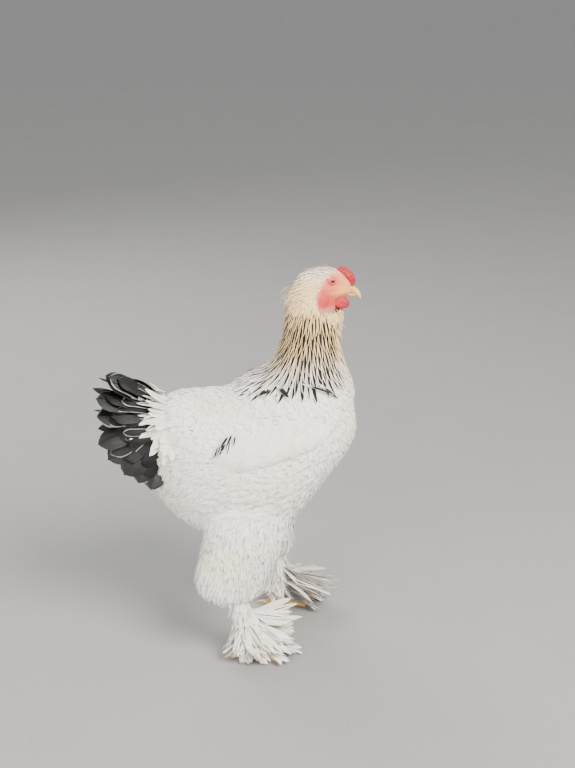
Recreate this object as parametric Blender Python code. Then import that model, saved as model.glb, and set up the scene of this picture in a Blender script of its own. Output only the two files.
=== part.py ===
"""A Light Brahma hen, life size, standing with one foot forward. Metres, +Z up, +X the way she faces, +Y her left."""

import math

import bpy
import bmesh
import numpy as np
from mathutils import Matrix, Vector
from mathutils.bvhtree import BVHTree

# Main sizes
GAP = 0.0004                    # kept between nodes that touch
STANCE_HALF_WIDTH = 0.080       # from the middle plane to each foot
RIGHT_FOOT_X, RIGHT_HOCK_X = -0.029, -0.044     # the right leg is back
LEFT_FOOT_X, LEFT_HOCK_X = 0.050, 0.041         # the left leg is forward
SEED = 7

# The body, section by section: x, top, bottom, half width
TORSO_SECTIONS = (
    (-0.172, 0.374, 0.300, 0.024),
    (-0.163, 0.404, 0.270, 0.044),
    (-0.138, 0.428, 0.232, 0.070),
    (-0.100, 0.431, 0.202, 0.094),
    (-0.050, 0.428, 0.182, 0.109),
    (0.000, 0.431, 0.175, 0.114),
    (0.040, 0.438, 0.197, 0.114),
    (0.080, 0.442, 0.250, 0.109),
    (0.114, 0.436, 0.290, 0.097),
    (0.139, 0.420, 0.324, 0.076),
    (0.152, 0.400, 0.346, 0.048),
)
TORSO_REAR_TIP = Vector((-0.177, 0.0, 0.338))
TORSO_FRONT_TIP = Vector((0.158, 0.0, 0.371))
TORSO_WIDEST_SHARE = 0.58       # height of the widest line, as a share of the section's height
TORSO_ROUNDNESS = (2.3, 2.0)    # above and below the widest line

# The head: x, top, bottom, half width
HEAD_SECTIONS = (
    (0.066, 0.6050, 0.5830, 0.0110),
    (0.074, 0.6135, 0.5690, 0.0200),
    (0.088, 0.6195, 0.5590, 0.0256),
    (0.104, 0.6225, 0.5545, 0.0268),
    (0.119, 0.6215, 0.5550, 0.0250),
    (0.131, 0.6165, 0.5610, 0.0200),
    (0.140, 0.6080, 0.5665, 0.0150),
    (0.146, 0.6000, 0.5710, 0.0105),
)
HEAD_REAR_TIP = Vector((0.063, 0.0, 0.595))
HEAD_FRONT_TIP = Vector((0.149, 0.0, 0.586))

# The neck: z, back, front, half width of the whole cape of feathers
CAPE_SECTIONS = (
    (0.600, 0.062, 0.110, 0.022),
    (0.575, 0.048, 0.131, 0.035),
    (0.545, 0.043, 0.137, 0.042),
    (0.510, 0.038, 0.134, 0.046),
    (0.480, 0.026, 0.138, 0.053),
    (0.460, 0.008, 0.144, 0.062),
    (0.447, -0.014, 0.149, 0.073),
    (0.436, -0.036, 0.153, 0.084),
    (0.425, -0.052, 0.157, 0.094),
)
NECK_CORE_SHARE = 0.62          # how far the core reaches towards the cape's surface
NAPE_CORE_SHARE = 0.86          # and behind the head

EYE_CENTRE = Vector((0.1155, 0.0185, 0.6030))
EYE_RADIUS = 0.0072

# One thigh, as the right leg has it: z, rear, front, inner y, outer y
THIGH_SECTIONS = (
    (0.300, -0.092, 0.050, 0.012, 0.094),
    (0.250, -0.099, 0.048, 0.014, 0.108),
    (0.205, -0.101, 0.036, 0.020, 0.111),
    (0.170, -0.101, 0.020, 0.028, 0.111),
    (0.140, -0.101, 0.004, 0.038, 0.108),
    (0.118, -0.096, -0.008, 0.048, 0.102),
    (0.106, -0.086, -0.018, 0.058, 0.096),
)
HIP_HEIGHT = 0.34               # the forward leg leans from here down to its hock
HOCK_HEIGHT = 0.105
LEG_BEND = 1.6

WHITE = (0.86, 0.83, 0.77, 1.0)
CREAM = (0.80, 0.72, 0.56, 1.0)
BLACK = (0.025, 0.026, 0.030, 1.0)
RED = (0.62, 0.07, 0.07, 1.0)
PINK = (0.72, 0.36, 0.29, 1.0)
HORN = (0.80, 0.66, 0.36, 1.0)
EYE_BROWN = (0.18, 0.06, 0.02, 1.0)


def clear_scene():
    for item in list(bpy.data.objects):
        bpy.data.objects.remove(item)


def material(name, colour, roughness):
    made = bpy.data.materials.get(name)
    if made is None:
        made = bpy.data.materials.new(name)
        made.use_nodes = True
        shader = made.node_tree.nodes["Principled BSDF"]
        shader.inputs["Base Color"].default_value = colour
        shader.inputs["Roughness"].default_value = roughness
        shader.inputs["Metallic"].default_value = 0.0
    return made


def mesh_object(name, points, faces, collection=None):
    """A mesh object with its faces pointing out."""
    mesh = bpy.data.meshes.new(name)
    mesh.from_pydata([tuple(p) for p in points], [], faces)
    work = bmesh.new()
    work.from_mesh(mesh)
    bmesh.ops.recalc_face_normals(work, faces=work.faces)
    if work.calc_volume(signed=True) < 0:
        bmesh.ops.reverse_faces(work, faces=work.faces)
    work.to_mesh(mesh)
    work.free()
    made = bpy.data.objects.new(name, mesh)
    (collection or bpy.context.scene.collection).objects.link(made)
    return made


def spline_rows(rows, count):
    """The rows' columns, read at count places along a smooth curve through them."""
    table = np.array(rows, float)
    last = len(table) - 1
    found = []
    for place in np.linspace(0.0, last, count):
        i = min(int(place), last - 1)
        t = place - i
        before = table[max(i - 1, 0)]
        start, end = table[i], table[i + 1]
        after = table[min(i + 2, last)]
        slope_in, slope_out = (end - before) / 2, (after - start) / 2
        found.append(
            (2 * t**3 - 3 * t**2 + 1) * start + (t**3 - 2 * t**2 + t) * slope_in
            + (3 * t**2 - 2 * t**3) * end + (t**3 - t**2) * slope_out
        )
    return found


def shell(name, rings, first, last, collection=None):
    """A closed surface over rings of equal length, ended by the points first and last."""
    points = [first] + [p for ring in rings for p in ring] + [last]
    sides = len(rings[0])
    faces = []
    for k in range(sides):
        after = (k + 1) % sides
        faces.append((0, 1 + after, 1 + k))
        for r in range(len(rings) - 1):
            low, high = 1 + r * sides, 1 + (r + 1) * sides
            faces.append((low + k, low + after, high + after))
            faces.append((low + k, high + after, high + k))
        end = 1 + (len(rings) - 1) * sides
        faces.append((end + k, end + after, len(points) - 1))
    return mesh_object(name, points, faces, collection)


def rounded(value, power):
    return math.copysign(abs(value) ** (2.0 / power), value)


def upright_ring(x, top, bottom, half_width, widest_share, roundness, sides):
    """A ring in the plane across the body at x, wider above than below."""
    widest = bottom + widest_share * (top - bottom)
    ring = []
    for k in range(sides):
        turn = 2 * math.pi * k / sides
        power = roundness[0] if math.cos(turn) > 0 else roundness[1]
        rise = rounded(math.cos(turn), power)
        reach = top - widest if rise > 0 else widest - bottom
        ring.append(Vector((x, half_width * rounded(math.sin(turn), power), widest + rise * reach)))
    return ring


def level_ring(z, back, front, inner, outer, roundness, sides):
    """A ring at the height z, from back to front and from inner to outer y."""
    middle = Vector(((back + front) / 2, (inner + outer) / 2, z))
    ring = []
    for k in range(sides):
        turn = 2 * math.pi * k / sides
        ring.append(middle + Vector((
            (front - back) / 2 * rounded(math.cos(turn), roundness),
            (outer - inner) / 2 * rounded(math.sin(turn), roundness),
            0.0,
        )))
    return ring


def tube(name, path, radii, sides, collection=None, flatten=1.0):
    """A closed tube along path; flatten narrows it from top to bottom."""
    rings = []
    for i, (centre, radius) in enumerate(zip(path, radii)):
        ahead = path[min(i + 1, len(path) - 1)] - path[max(i - 1, 0)]
        forward = ahead.normalized()
        across = forward.cross(Vector((0, 0, 1)))
        if across.length < 0.2:
            across = forward.cross(Vector((1, 0, 0)))
        across.normalize()
        up = across.cross(forward)
        rings.append([
            centre + across * (radius * math.cos(2 * math.pi * k / sides))
            + up * (radius * flatten * math.sin(2 * math.pi * k / sides))
            for k in range(sides)
        ])
    first = path[0] + (path[0] - path[1]).normalized() * radii[0] * 0.5
    last = path[-1] + (path[-1] - path[-2]).normalized() * radii[-1] * 0.5
    return shell(name, rings, first, last, collection)


def ball(name, centre, radii, rings, sides, collection=None, turn=None):
    """An ellipsoid with its poles on its own Z axis, turned by the matrix turn."""
    turn = turn or Matrix.Identity(3)
    made = []
    for r in range(1, rings):
        angle = math.pi * r / rings
        made.append([
            centre + turn @ Vector((
                radii[0] * math.sin(angle) * math.cos(2 * math.pi * k / sides),
                radii[1] * math.sin(angle) * math.sin(2 * math.pi * k / sides),
                radii[2] * math.cos(angle),
            ))
            for k in range(sides)
        ])
    pole = turn @ Vector((0, 0, radii[2]))
    return shell(name, made, centre + pole, centre - pole, collection)


# Width of each kind of feather along its length, from root to tip, as (place, share of full width)
BROAD_VANE = ((0.0, 0.30), (0.30, 0.80), (0.66, 1.0), (0.90, 0.80), (1.0, 0.30))
LANCE_VANE = ((0.0, 0.50), (0.33, 1.0), (0.70, 0.82), (1.0, 0.10))
LONG_VANE = ((0.0, 0.42), (0.36, 0.95), (0.74, 0.92), (1.0, 0.16))
ROUND_VANE = ((0.0, 0.45), (0.40, 0.95), (0.80, 0.90), (1.0, 0.28))


def vane(stations, thickness, arch, collection):
    """One feather's vane as a thin closed plate through (centre, side, normal, half width) stations.

    With an arch it has a raised middle, and both faces are split into triangles the same way.
    """
    points, faces = [], []
    columns = (-1.0, 0.0, 1.0) if arch else (-1.0, 1.0)
    across = len(columns)
    for centre, side, normal, half_width in stations:
        for face in (0.5, -0.5):
            for column in columns:
                drop = arch * half_width * abs(column)
                points.append(centre + side * (half_width * column) + normal * (thickness * face - drop))
    per_station = 2 * across
    for i in range(len(stations) - 1):
        here, there = i * per_station, (i + 1) * per_station
        for k in range(across - 1):
            faces.append((here + k, here + k + 1, there + k + 1))
            faces.append((here + k, there + k + 1, there + k))
            faces.append((here + across + k, there + across + k + 1, here + across + k + 1))
            faces.append((here + across + k, there + across + k, there + across + k + 1))
        for k, turned in ((0, False), (across - 1, True)):
            edge = [
                (here + k, there + k, there + across + k),
                (here + k, there + across + k, here + across + k),
            ]
            faces.extend([f[::-1] for f in edge] if turned else edge)
    for base in (0, (len(stations) - 1) * per_station):
        for k in range(across - 1):
            faces.append((base + k, base + k + 1, base + across + k + 1))
            faces.append((base + k, base + across + k + 1, base + across + k))
    return mesh_object("vane", points, faces, collection)


def free_vane(root, heading, face, length, width, shape, droop, collection, thickness=0.0011, arch=0.14):
    """A feather that leaves its root along heading, turns its outer side towards face and bends by droop."""
    heading = heading.normalized()
    side = heading.cross(face).normalized()
    normal = side.cross(heading).normalized()
    stations = []
    centre = root.copy()
    before = 0.0
    for place, share in shape:
        bend = Matrix.Rotation(droop * (before + place) / 2, 3, side)
        centre = centre + bend @ heading * (length * (place - before))
        lean = Matrix.Rotation(droop * place, 3, side)
        stations.append((centre.copy(), side, lean @ normal, width / 2 * share))
        before = place
    return vane(stations, thickness, arch, collection)


class Skin:
    """The surface of a node, for feathers that lie on it."""

    def __init__(self, carrier):
        mesh = carrier.data
        mesh.calc_loop_triangles()
        self.points = [v.co.copy() for v in mesh.vertices]
        self.normals = [v.normal.copy() for v in mesh.vertices]
        self.triangles = [tuple(t.vertices) for t in mesh.loop_triangles]
        self.tree = BVHTree.FromPolygons(self.points, self.triangles)

    def near(self, point):
        """The nearest place on the surface and the smooth normal there."""
        place, _, index, _ = self.tree.find_nearest(point)
        corners = self.triangles[index]
        shares = [1.0 / ((self.points[c] - place).length + 1e-5) for c in corners]
        normal = sum((self.normals[c] * s for c, s in zip(corners, shares)), Vector())
        return place, normal.normalized()


    def keep_over(self, point, clearance):
        """The point, moved out where it is nearer to the surface than clearance or inside, and whether it moved."""
        place, normal = self.near(point)
        height = (point - place).dot(normal)
        if height >= clearance:
            return point, False
        return place + normal * clearance, True


def lying_vane(skin, start, heading, length, width, shape, lifts, collection, thickness=0.0009, arch=0.0):
    """A feather that follows a surface; lifts are its heights over it at root and tip."""
    stations = []
    for place, share in shape:
        at, normal = skin.near(start + heading.normalized() * (length * place))
        flat = heading - normal * heading.dot(normal)
        side = flat.normalized().cross(normal).normalized()
        lift = lifts[0] + (lifts[1] - lifts[0]) * min(1.0, place * 1.25)
        stations.append((at + normal * lift, side, normal, width / 2 * share))
    return vane(stations, thickness, arch, collection)


def boolean(target, operation, operand=None, collection=None):
    """Applies one Boolean to target, with an object or a collection as the other side."""
    modifier = target.modifiers.new(operation, "BOOLEAN")
    modifier.operation = operation
    modifier.solver = "EXACT"
    if collection is not None:
        modifier.operand_type = "COLLECTION"
        modifier.collection = collection
    else:
        modifier.object = operand
    graph = bpy.context.evaluated_depsgraph_get()
    result = bpy.data.meshes.new_from_object(target.evaluated_get(graph))
    target.modifiers.clear()
    target.data = result


def keep_largest(target):
    """Leaves only the largest closed surface of target's mesh."""
    work = bmesh.new()
    work.from_mesh(target.data)
    bmesh.ops.triangulate(work, faces=work.faces)
    bmesh.ops.dissolve_degenerate(work, dist=1e-7, edges=work.edges)
    bmesh.ops.triangulate(work, faces=work.faces)
    unseen = set(work.faces)
    islands = []
    while unseen:
        island = set()
        waiting = [unseen.pop()]
        while waiting:
            face = waiting.pop()
            island.add(face)
            for edge in face.edges:
                for other in edge.link_faces:
                    if other in unseen:
                        unseen.discard(other)
                        waiting.append(other)
        islands.append(island)
    volumes = [
        sum(f.verts[0].co.dot(f.verts[1].co.cross(f.verts[2].co)) for f in island) / 6
        for island in islands
    ]
    largest = max(range(len(islands)), key=lambda i: volumes[i])
    dropped = [f for i, island in enumerate(islands) if i != largest for f in island]
    bmesh.ops.delete(work, geom=dropped, context="FACES")
    work.to_mesh(target.data)
    work.free()
    return len(islands) - 1


def fuse(target, pieces):
    """Joins a collection of closed pieces to target in one union, and removes them."""
    boolean(target, "UNION", collection=pieces)
    for item in list(pieces.objects):
        bpy.data.objects.remove(item)
    bpy.data.collections.remove(pieces)
    keep_largest(target)


def cut_clear(target, *others, gap=GAP):
    """Cuts target back to a small gap from each of the others."""
    for other in others:
        cutter = other.copy()
        cutter.data = other.data.copy()
        bpy.context.scene.collection.objects.link(cutter)
        swell = cutter.modifiers.new("swell", "DISPLACE")
        swell.strength = gap
        swell.mid_level = 0.0
        boolean(target, "DIFFERENCE", operand=cutter)
        bpy.data.objects.remove(cutter)
        keep_largest(target)


def new_pieces(name):
    pieces = bpy.data.collections.new(name)
    bpy.context.scene.collection.children.link(pieces)
    return pieces


def finish(target, name, finish_material):
    target.name = name
    target.data.name = name
    target.data.materials.clear()
    target.data.materials.append(finish_material)
    for polygon in target.data.polygons:
        polygon.material_index = 0
    target.data.shade_smooth()
    target.data.set_sharp_from_angle(angle=math.radians(40))
    return target


def mirrored(point):
    return Vector((point.x, -point.y, point.z))


def make_torso():
    """Breast, back, belly and the fluff under the tail, in one egg-shaped form."""
    rings = [
        upright_ring(*row, TORSO_WIDEST_SHARE, TORSO_ROUNDNESS, 24)
        for row in spline_rows(TORSO_SECTIONS, 15)
    ]
    return shell("torso", rings, TORSO_REAR_TIP, TORSO_FRONT_TIP)


def duplicate(source, name):
    copy = source.copy()
    copy.data = source.data.copy()
    copy.name = name
    bpy.context.scene.collection.objects.link(copy)
    return copy


def make_skull():
    """The head's plain form with its cheeks, which the other pieces of the head are fitted to."""
    rings = [
        upright_ring(*row, 0.52, (2.1, 2.1), 18)
        for row in spline_rows(HEAD_SECTIONS, 11)
    ]
    skull = shell("skull", rings, HEAD_REAR_TIP, HEAD_FRONT_TIP)
    pieces = new_pieces("cheeks")
    for side in (1, -1):
        cheek = Vector((0.122, side * 0.0150, 0.5800))
        ball("cheek", cheek, (0.0170, 0.0075, 0.0130), 6, 10, pieces)
    fuse(skull, pieces)
    return skull


def make_head(skull, eyes):
    """The skull with its eye sockets, lids and brows."""
    head = duplicate(skull, "head")
    pieces = new_pieces("head_pieces")
    for side in (1, -1):
        centre = Vector((EYE_CENTRE.x, EYE_CENTRE.y * side, EYE_CENTRE.z))
        look = Vector((0.22, side, 0.06)).normalized()
        turn = look.to_track_quat("Z", "Y").to_matrix()
        rim = centre + look * (EYE_RADIUS * 0.72)
        lid_path = [
            rim + turn @ Vector((0.0062 * math.cos(a), 0.0050 * math.sin(a), 0.0))
            for a in np.linspace(0, 2 * math.pi, 10, endpoint=False)
        ]
        ring_faces, ring_points = [], []
        for i, place in enumerate(lid_path):
            out = (place - rim).normalized()
            for k in range(4):
                angle = 2 * math.pi * k / 4
                ring_points.append(place + (out * math.cos(angle) + look * math.sin(angle)) * 0.0016)
            for k in range(4):
                here, there = i * 4, ((i + 1) % 10) * 4
                ring_faces.append((here + k, here + (k + 1) % 4, there + (k + 1) % 4))
                ring_faces.append((here + k, there + (k + 1) % 4, there + k))
        mesh_object("lids", ring_points, ring_faces, pieces)
        brow = centre + Vector((0.001, side * 0.0010, 0.0088))
        ball("brow", brow, (0.0120, 0.0040, 0.0032), 5, 8, pieces)
    fuse(head, pieces)
    cut_clear(head, *eyes)
    return head


def make_eye(side):
    centre = Vector((EYE_CENTRE.x, EYE_CENTRE.y * side, EYE_CENTRE.z))
    look = Vector((0.22, side, 0.06)).normalized()
    turn = look.to_track_quat("Z", "Y").to_matrix()
    return ball("eye", centre, (EYE_RADIUS, EYE_RADIUS, EYE_RADIUS), 7, 10, turn=turn)


# The bill's paths run in the middle plane: (x, z) and (half width, half height)
UPPER_BILL = (
    ((0.138, 0.5880), (0.0086, 0.0078)),
    ((0.145, 0.5880), (0.0079, 0.0072)),
    ((0.151, 0.5862), (0.0066, 0.0062)),
    ((0.157, 0.5820), (0.0050, 0.0050)),
    ((0.1612, 0.5765), (0.0033, 0.0036)),
    ((0.1636, 0.5710), (0.0016, 0.0019)),
)
LOWER_BILL = (
    ((0.136, 0.5745), (0.0076, 0.0040)),
    ((0.143, 0.5745), (0.0064, 0.0038)),
    ((0.149, 0.5735), (0.0050, 0.0032)),
    ((0.154, 0.5722), (0.0030, 0.0022)),
)


def make_bill(name, rows, tip, sides=10):
    rings = []
    paths = spline_rows([(*place, *size) for place, size in rows], 2 * len(rows))
    for i, (x, z, half_width, half_height) in enumerate(paths):
        before, after = paths[max(i - 1, 0)], paths[min(i + 1, len(paths) - 1)]
        forward = Vector((after[0] - before[0], 0.0, after[1] - before[1])).normalized()
        up = Vector((-forward.z, 0.0, forward.x))
        rings.append([
            Vector((x, 0.0, z)) + Vector((0, 1, 0)) * (half_width * math.sin(2 * math.pi * k / sides))
            + up * (half_height * math.cos(2 * math.pi * k / sides))
            for k in range(sides)
        ])
    start = Vector((paths[0][0] - 0.001, 0.0, paths[0][1]))
    return shell(name, rings, start, tip)


def make_upper_bill(head):
    """The hooked upper bill with a nostril pit on each side."""
    bill = make_bill("bill_upper", UPPER_BILL, Vector((0.1644, 0.0, 0.5682)))
    for side in (1, -1):
        pit = ball("nostril", Vector((0.1495, side * 0.0074, 0.5895)), (0.0022, 0.0012, 0.0011), 6, 8)
        boolean(bill, "DIFFERENCE", operand=pit)
        bpy.data.objects.remove(pit)
    cut_clear(bill, head)
    return bill


def make_lower_bill(head, upper):
    bill = make_bill("bill_lower", LOWER_BILL, Vector((0.1562, 0.0, 0.5715)))
    cut_clear(bill, head, upper)
    return bill


COMB_START = Vector((0.1470, 0.0, 0.5985))      # over the bill
COMB_TURN = Vector((0.1395, 0.0, 0.6135))
COMB_END = Vector((0.1240, 0.0, 0.6225))        # on the crown
COMB_HALF_WIDTH = 0.0080
COMB_HEIGHT = 0.0056


def make_comb(head, bill):
    """A pea comb: three low ridges side by side, each a row of small knobs, the middle one higher."""
    columns = ((-1.0, 0.0), (-0.66, 0.62), (-0.34, 0.36), (0.0, 1.0), (0.34, 0.36), (0.66, 0.62), (1.0, 0.0))
    rows = 11
    top, bottom = [], []
    for i in range(rows):
        t = i / (rows - 1)
        along = COMB_START * (1 - t) ** 2 + COMB_TURN * (2 * t * (1 - t)) + COMB_END * t**2
        slope = (COMB_TURN - COMB_START) * (1 - t) + (COMB_END - COMB_TURN) * t
        up = Vector((-slope.z, 0.0, slope.x)).normalized() * -1
        bulk = math.sin(math.pi * min(1.0, 0.14 + t * 0.74)) ** 0.6
        knob = 1.0 + 0.26 * math.cos(2 * math.pi * t * 5)
        for across, height in columns:
            place = along + Vector((0, COMB_HALF_WIDTH * bulk * across, 0))
            top.append(place + up * (COMB_HEIGHT * height * bulk * knob))
            bottom.append(place - up * 0.004)
    wide = len(columns)
    faces = []
    count = rows * wide
    for i in range(rows - 1):
        for k in range(wide - 1):
            a, b, c, d = i * wide + k, i * wide + k + 1, (i + 1) * wide + k + 1, (i + 1) * wide + k
            faces += [(a, b, c), (a, c, d), (count + a, count + c, count + b), (count + a, count + d, count + c)]
    rim = [k for k in range(wide)] + [i * wide + wide - 1 for i in range(1, rows)]
    rim += [(rows - 1) * wide + k for k in range(wide - 2, -1, -1)] + [i * wide for i in range(rows - 2, 0, -1)]
    for n, a in enumerate(rim):
        b = rim[(n + 1) % len(rim)]
        faces += [(a, count + a, count + b), (a, count + b, b)]
    comb = mesh_object("comb", top + bottom, faces)
    cut_clear(comb, head, bill)
    return comb


def make_wattle(side, head, bill):
    """A short round lobe that hangs under the bill."""
    turn = Matrix.Rotation(math.radians(side * 14), 3, "X") @ Matrix.Rotation(math.radians(18), 3, "Y")
    wattle = ball("wattle", Vector((0.1290, side * 0.0085, 0.5690)), (0.0115, 0.0034, 0.0105), 7, 10, turn=turn)
    cut_clear(wattle, head, bill)
    return wattle


def make_earlobe(side, head):
    turn = Matrix.Rotation(math.radians(-20), 3, "Y")
    lobe = ball("earlobe", Vector((0.0990, side * 0.0255, 0.5770)), (0.0052, 0.0034, 0.0125), 7, 8, turn=turn)
    cut_clear(lobe, head)
    return lobe


def core_share(z):
    return float(np.interp(z, (0.545, 0.582), (NECK_CORE_SHARE, NAPE_CORE_SHARE)))


def cape_place(row, turn, share):
    """A point of the neck: row is (z, back, front, half width), turn 0 is forward, share 1 is the cape's face."""
    z, back, front, half_width = row
    return Vector((
        (back + front) / 2 + share * (front - back) / 2 * math.cos(turn),
        share * half_width * math.sin(turn),
        z,
    ))


# The hackle's tiers: root height, feathers round the neck, length, width
HACKLE_TIERS = (
    (0.594, 8, 0.046, 0.022),
    (0.570, 8, 0.056, 0.026),
    (0.540, 9, 0.064, 0.029),
    (0.508, 10, 0.070, 0.030),
    (0.478, 11, 0.068, 0.034),
)
HACKLE_TILT = 0.008             # how much higher than its middle each tier starts at the nape
HACKLE_RISE = ((0.0, 0.0), (0.33, 0.80), (0.70, 0.94), (1.0, 1.0))      # from the root's depth out to the cape's face


def make_neck(torso_skin, torso, *head_pieces):
    """The neck's core under its cape of lance-shaped hackle feathers, in tiers like shingles."""
    rows = spline_rows(CAPE_SECTIONS, 41)
    steps = [Vector(((a[1] - b[1]), 0.0, a[0] - b[0])).length for a, b in zip(rows[1:], rows)]
    lengths = np.concatenate([[0.0], np.cumsum(steps)])
    table = np.array(rows)

    def row_at(down):
        """The cape's row this far down its back from the top."""
        return [float(np.interp(down, lengths, table[:, c])) for c in range(4)]

    core_rows = spline_rows(CAPE_SECTIONS[:-2], 11)
    rings = [
        [cape_place(row, 2 * math.pi * k / 16, core_share(row[0])) for k in range(16)]
        for row in core_rows
    ]
    low, high = core_rows[-1], core_rows[0]
    core = shell(
        "neck", rings,
        Vector(((high[1] + high[2]) / 2, 0.0, high[0] + 0.004)),
        Vector(((low[1] + low[2]) / 2, 0.0, low[0] - 0.030)),
    )
    pieces = new_pieces("neck_pieces")
    draw = np.random.default_rng(SEED)
    for tier, (root_z, count, length, width) in enumerate(HACKLE_TIERS):
        for k in range(count):
            turn = 2 * math.pi * (k + 0.5 * (tier % 2)) / count
            begin = float(np.interp(-root_z + HACKLE_TILT * math.cos(turn), -table[:, 0], lengths))
            reach = length * (1.0 + 0.06 * draw.uniform(-1, 1) - 0.10 * math.cos(turn))
            centres, sides = [], []
            for place, share in LANCE_VANE:
                root_share = core_share(root_z) - 0.10
                out = root_share + (1.0 - root_share) * float(np.interp(place, *zip(*HACKLE_RISE)))
                row = row_at(begin + reach * place)
                centre = cape_place(row, turn, out)
                centre, _ = torso_skin.keep_over(centre, 0.0022 + 0.0014 * (k % 2))
                beside = cape_place(row, turn + 0.05, out) - cape_place(row, turn - 0.05, out)
                centres.append(centre)
                sides.append(beside.normalized())
            stations = []
            for i, (place, share) in enumerate(LANCE_VANE):
                ahead = centres[min(i + 1, 3)] - centres[max(i - 1, 0)]
                normal = sides[i].cross(ahead).normalized()
                if normal.dot(centres[0] - Vector((0.088, 0.0, centres[0].z))) < 0:
                    normal.negate()
                side = ahead.cross(normal).normalized()
                high_side = 0.0016 * (k % 2)
                stations.append((centres[i] + normal * high_side, side, normal, width / 2 * share))
            vane(stations, 0.0009, 0.0, pieces)
    fuse(core, pieces)
    cut_clear(core, torso, *head_pieces)
    return core


TAIL_ROOT = Vector((-0.158, 0.0, 0.389))
TAIL_PAIRS = 6
TAIL_LENGTH = 0.112
# Coverts: pairs, first and last angle above level, length, width, splay, height over the quills
TAIL_COVERTS = (
    (4, 52.0, -24.0, 0.079, 0.042, 10.0, 0.016),
    (3, 76.0, -8.0, 0.052, 0.042, 16.0, 0.024),
)


def tail_heading(lift, splay, side):
    lift, splay = math.radians(lift), math.radians(splay)
    return Vector((-math.cos(lift) * math.cos(splay), side * math.sin(splay), math.sin(lift) * math.cos(splay)))


def make_tail(torso):
    """Six pairs of broad black quills in a rounded, roof-shaped fan, with two tiers of coverts over them."""
    core = ball("tail", TAIL_ROOT + Vector((-0.002, 0.0, -0.008)), (0.030, 0.030, 0.044), 7, 12)
    pieces = new_pieces("tail_pieces")
    for side in (1, -1):
        for i in range(TAIL_PAIRS):
            t = i / (TAIL_PAIRS - 1)
            lift = 25.0 - 64.0 * t
            heading = tail_heading(lift, 5.0 + 24.0 * t, side)
            root = TAIL_ROOT + Vector((0.0, side * (0.003 + 0.014 * t), 0.018 - 0.040 * t))
            face = Vector((-0.15, side * (0.35 + 0.65 * t), 0.95 - 0.9 * t))
            length = TAIL_LENGTH - 0.026 * t**2
            free_vane(root, heading, face, length, 0.043, BROAD_VANE, math.radians(-10), pieces, arch=0.0)
        for pairs, first, last, length, width, splay, height in TAIL_COVERTS:
            for i in range(pairs):
                t = i / (pairs - 1)
                lift = first + (last - first) * t
                heading = tail_heading(lift, splay + 24.0 * t, side)
                root = TAIL_ROOT + Vector((0.006, side * (0.004 + height * (0.45 + 0.55 * t)), 0.022 - 0.048 * t))
                face = Vector((-0.10, side * (0.40 + 0.60 * t), 1.0 - 0.9 * t))
                free_vane(root, heading, face, length, width, ROUND_VANE, math.radians(-26), pieces, arch=0.0)
    fuse(core, pieces)
    cut_clear(core, torso)
    return core


# The folded wing on the body's side: x, middle height, half height, thickness
WING_SECTIONS = (
    (0.134, 0.381, 0.014, 0.004),
    (0.118, 0.382, 0.028, 0.009),
    (0.088, 0.382, 0.038, 0.011),
    (0.050, 0.381, 0.042, 0.012),
    (0.005, 0.379, 0.042, 0.011),
    (-0.035, 0.376, 0.036, 0.009),
    (-0.065, 0.373, 0.026, 0.006),
)
WING_TIERS = (
    # count, first root x and z, last root x and z, length, width, root and tip height over the body
    (6, -0.004, 0.413, -0.022, 0.343, 0.094, 0.024, 0.0030, 0.0065),
    (4, 0.046, 0.409, 0.028, 0.349, 0.066, 0.032, 0.0075, 0.0125),
    (3, 0.096, 0.402, 0.082, 0.358, 0.054, 0.036, 0.0080, 0.0140),
)


def make_wing(side, torso, skin):
    """The folded wing: a low pad for the arm, with the long flight feathers in a fan and two tiers of coverts."""
    rings = []
    for x, middle, half, thick in spline_rows(WING_SECTIONS, 8):
        outer, inner = [], []
        for k in range(7):
            z = middle + half * math.cos(math.pi * k / 6)
            at, normal = skin.near(Vector((x, side * 0.13, z)))
            outer.append(at + normal * (thick * math.sin(math.pi * (k + 0.4) / 6.8)))
            inner.append(at - normal * 0.006)
        rings.append(outer + inner[::-1])
    first = sum(rings[0], Vector()) / len(rings[0]) + Vector((0.004, 0, 0))
    last = sum(rings[-1], Vector()) / len(rings[-1]) - Vector((0.004, 0, 0))
    wing = shell("wing", rings, first, last)
    pieces = new_pieces("wing_pieces")
    for tier, (count, x0, z0, x1, z1, length, width, low, high) in enumerate(WING_TIERS):
        for i in range(count):
            t = i / (count - 1)
            start = Vector((x0 + (x1 - x0) * t, side * 0.14, z0 + (z1 - z0) * t))
            heading = Vector((-1.0, 0.0, -0.10 + 0.16 * t))
            reach = length * (1.0 - 0.20 * abs(t - 0.4)) if tier == 0 else length
            shift = 0.0013 * (i % 2)
            lying_vane(skin, start, heading, reach, width, ROUND_VANE, (low + shift, high + shift), pieces)
    fuse(wing, pieces)
    cut_clear(wing, torso)
    return wing


def leg_shift(z, total):
    """How far forward the leg is at this height, when its hock is total further forward."""
    return total * min(1.0, max(0.0, (HIP_HEIGHT - z) / (HIP_HEIGHT - HOCK_HEIGHT))) ** LEG_BEND


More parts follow.
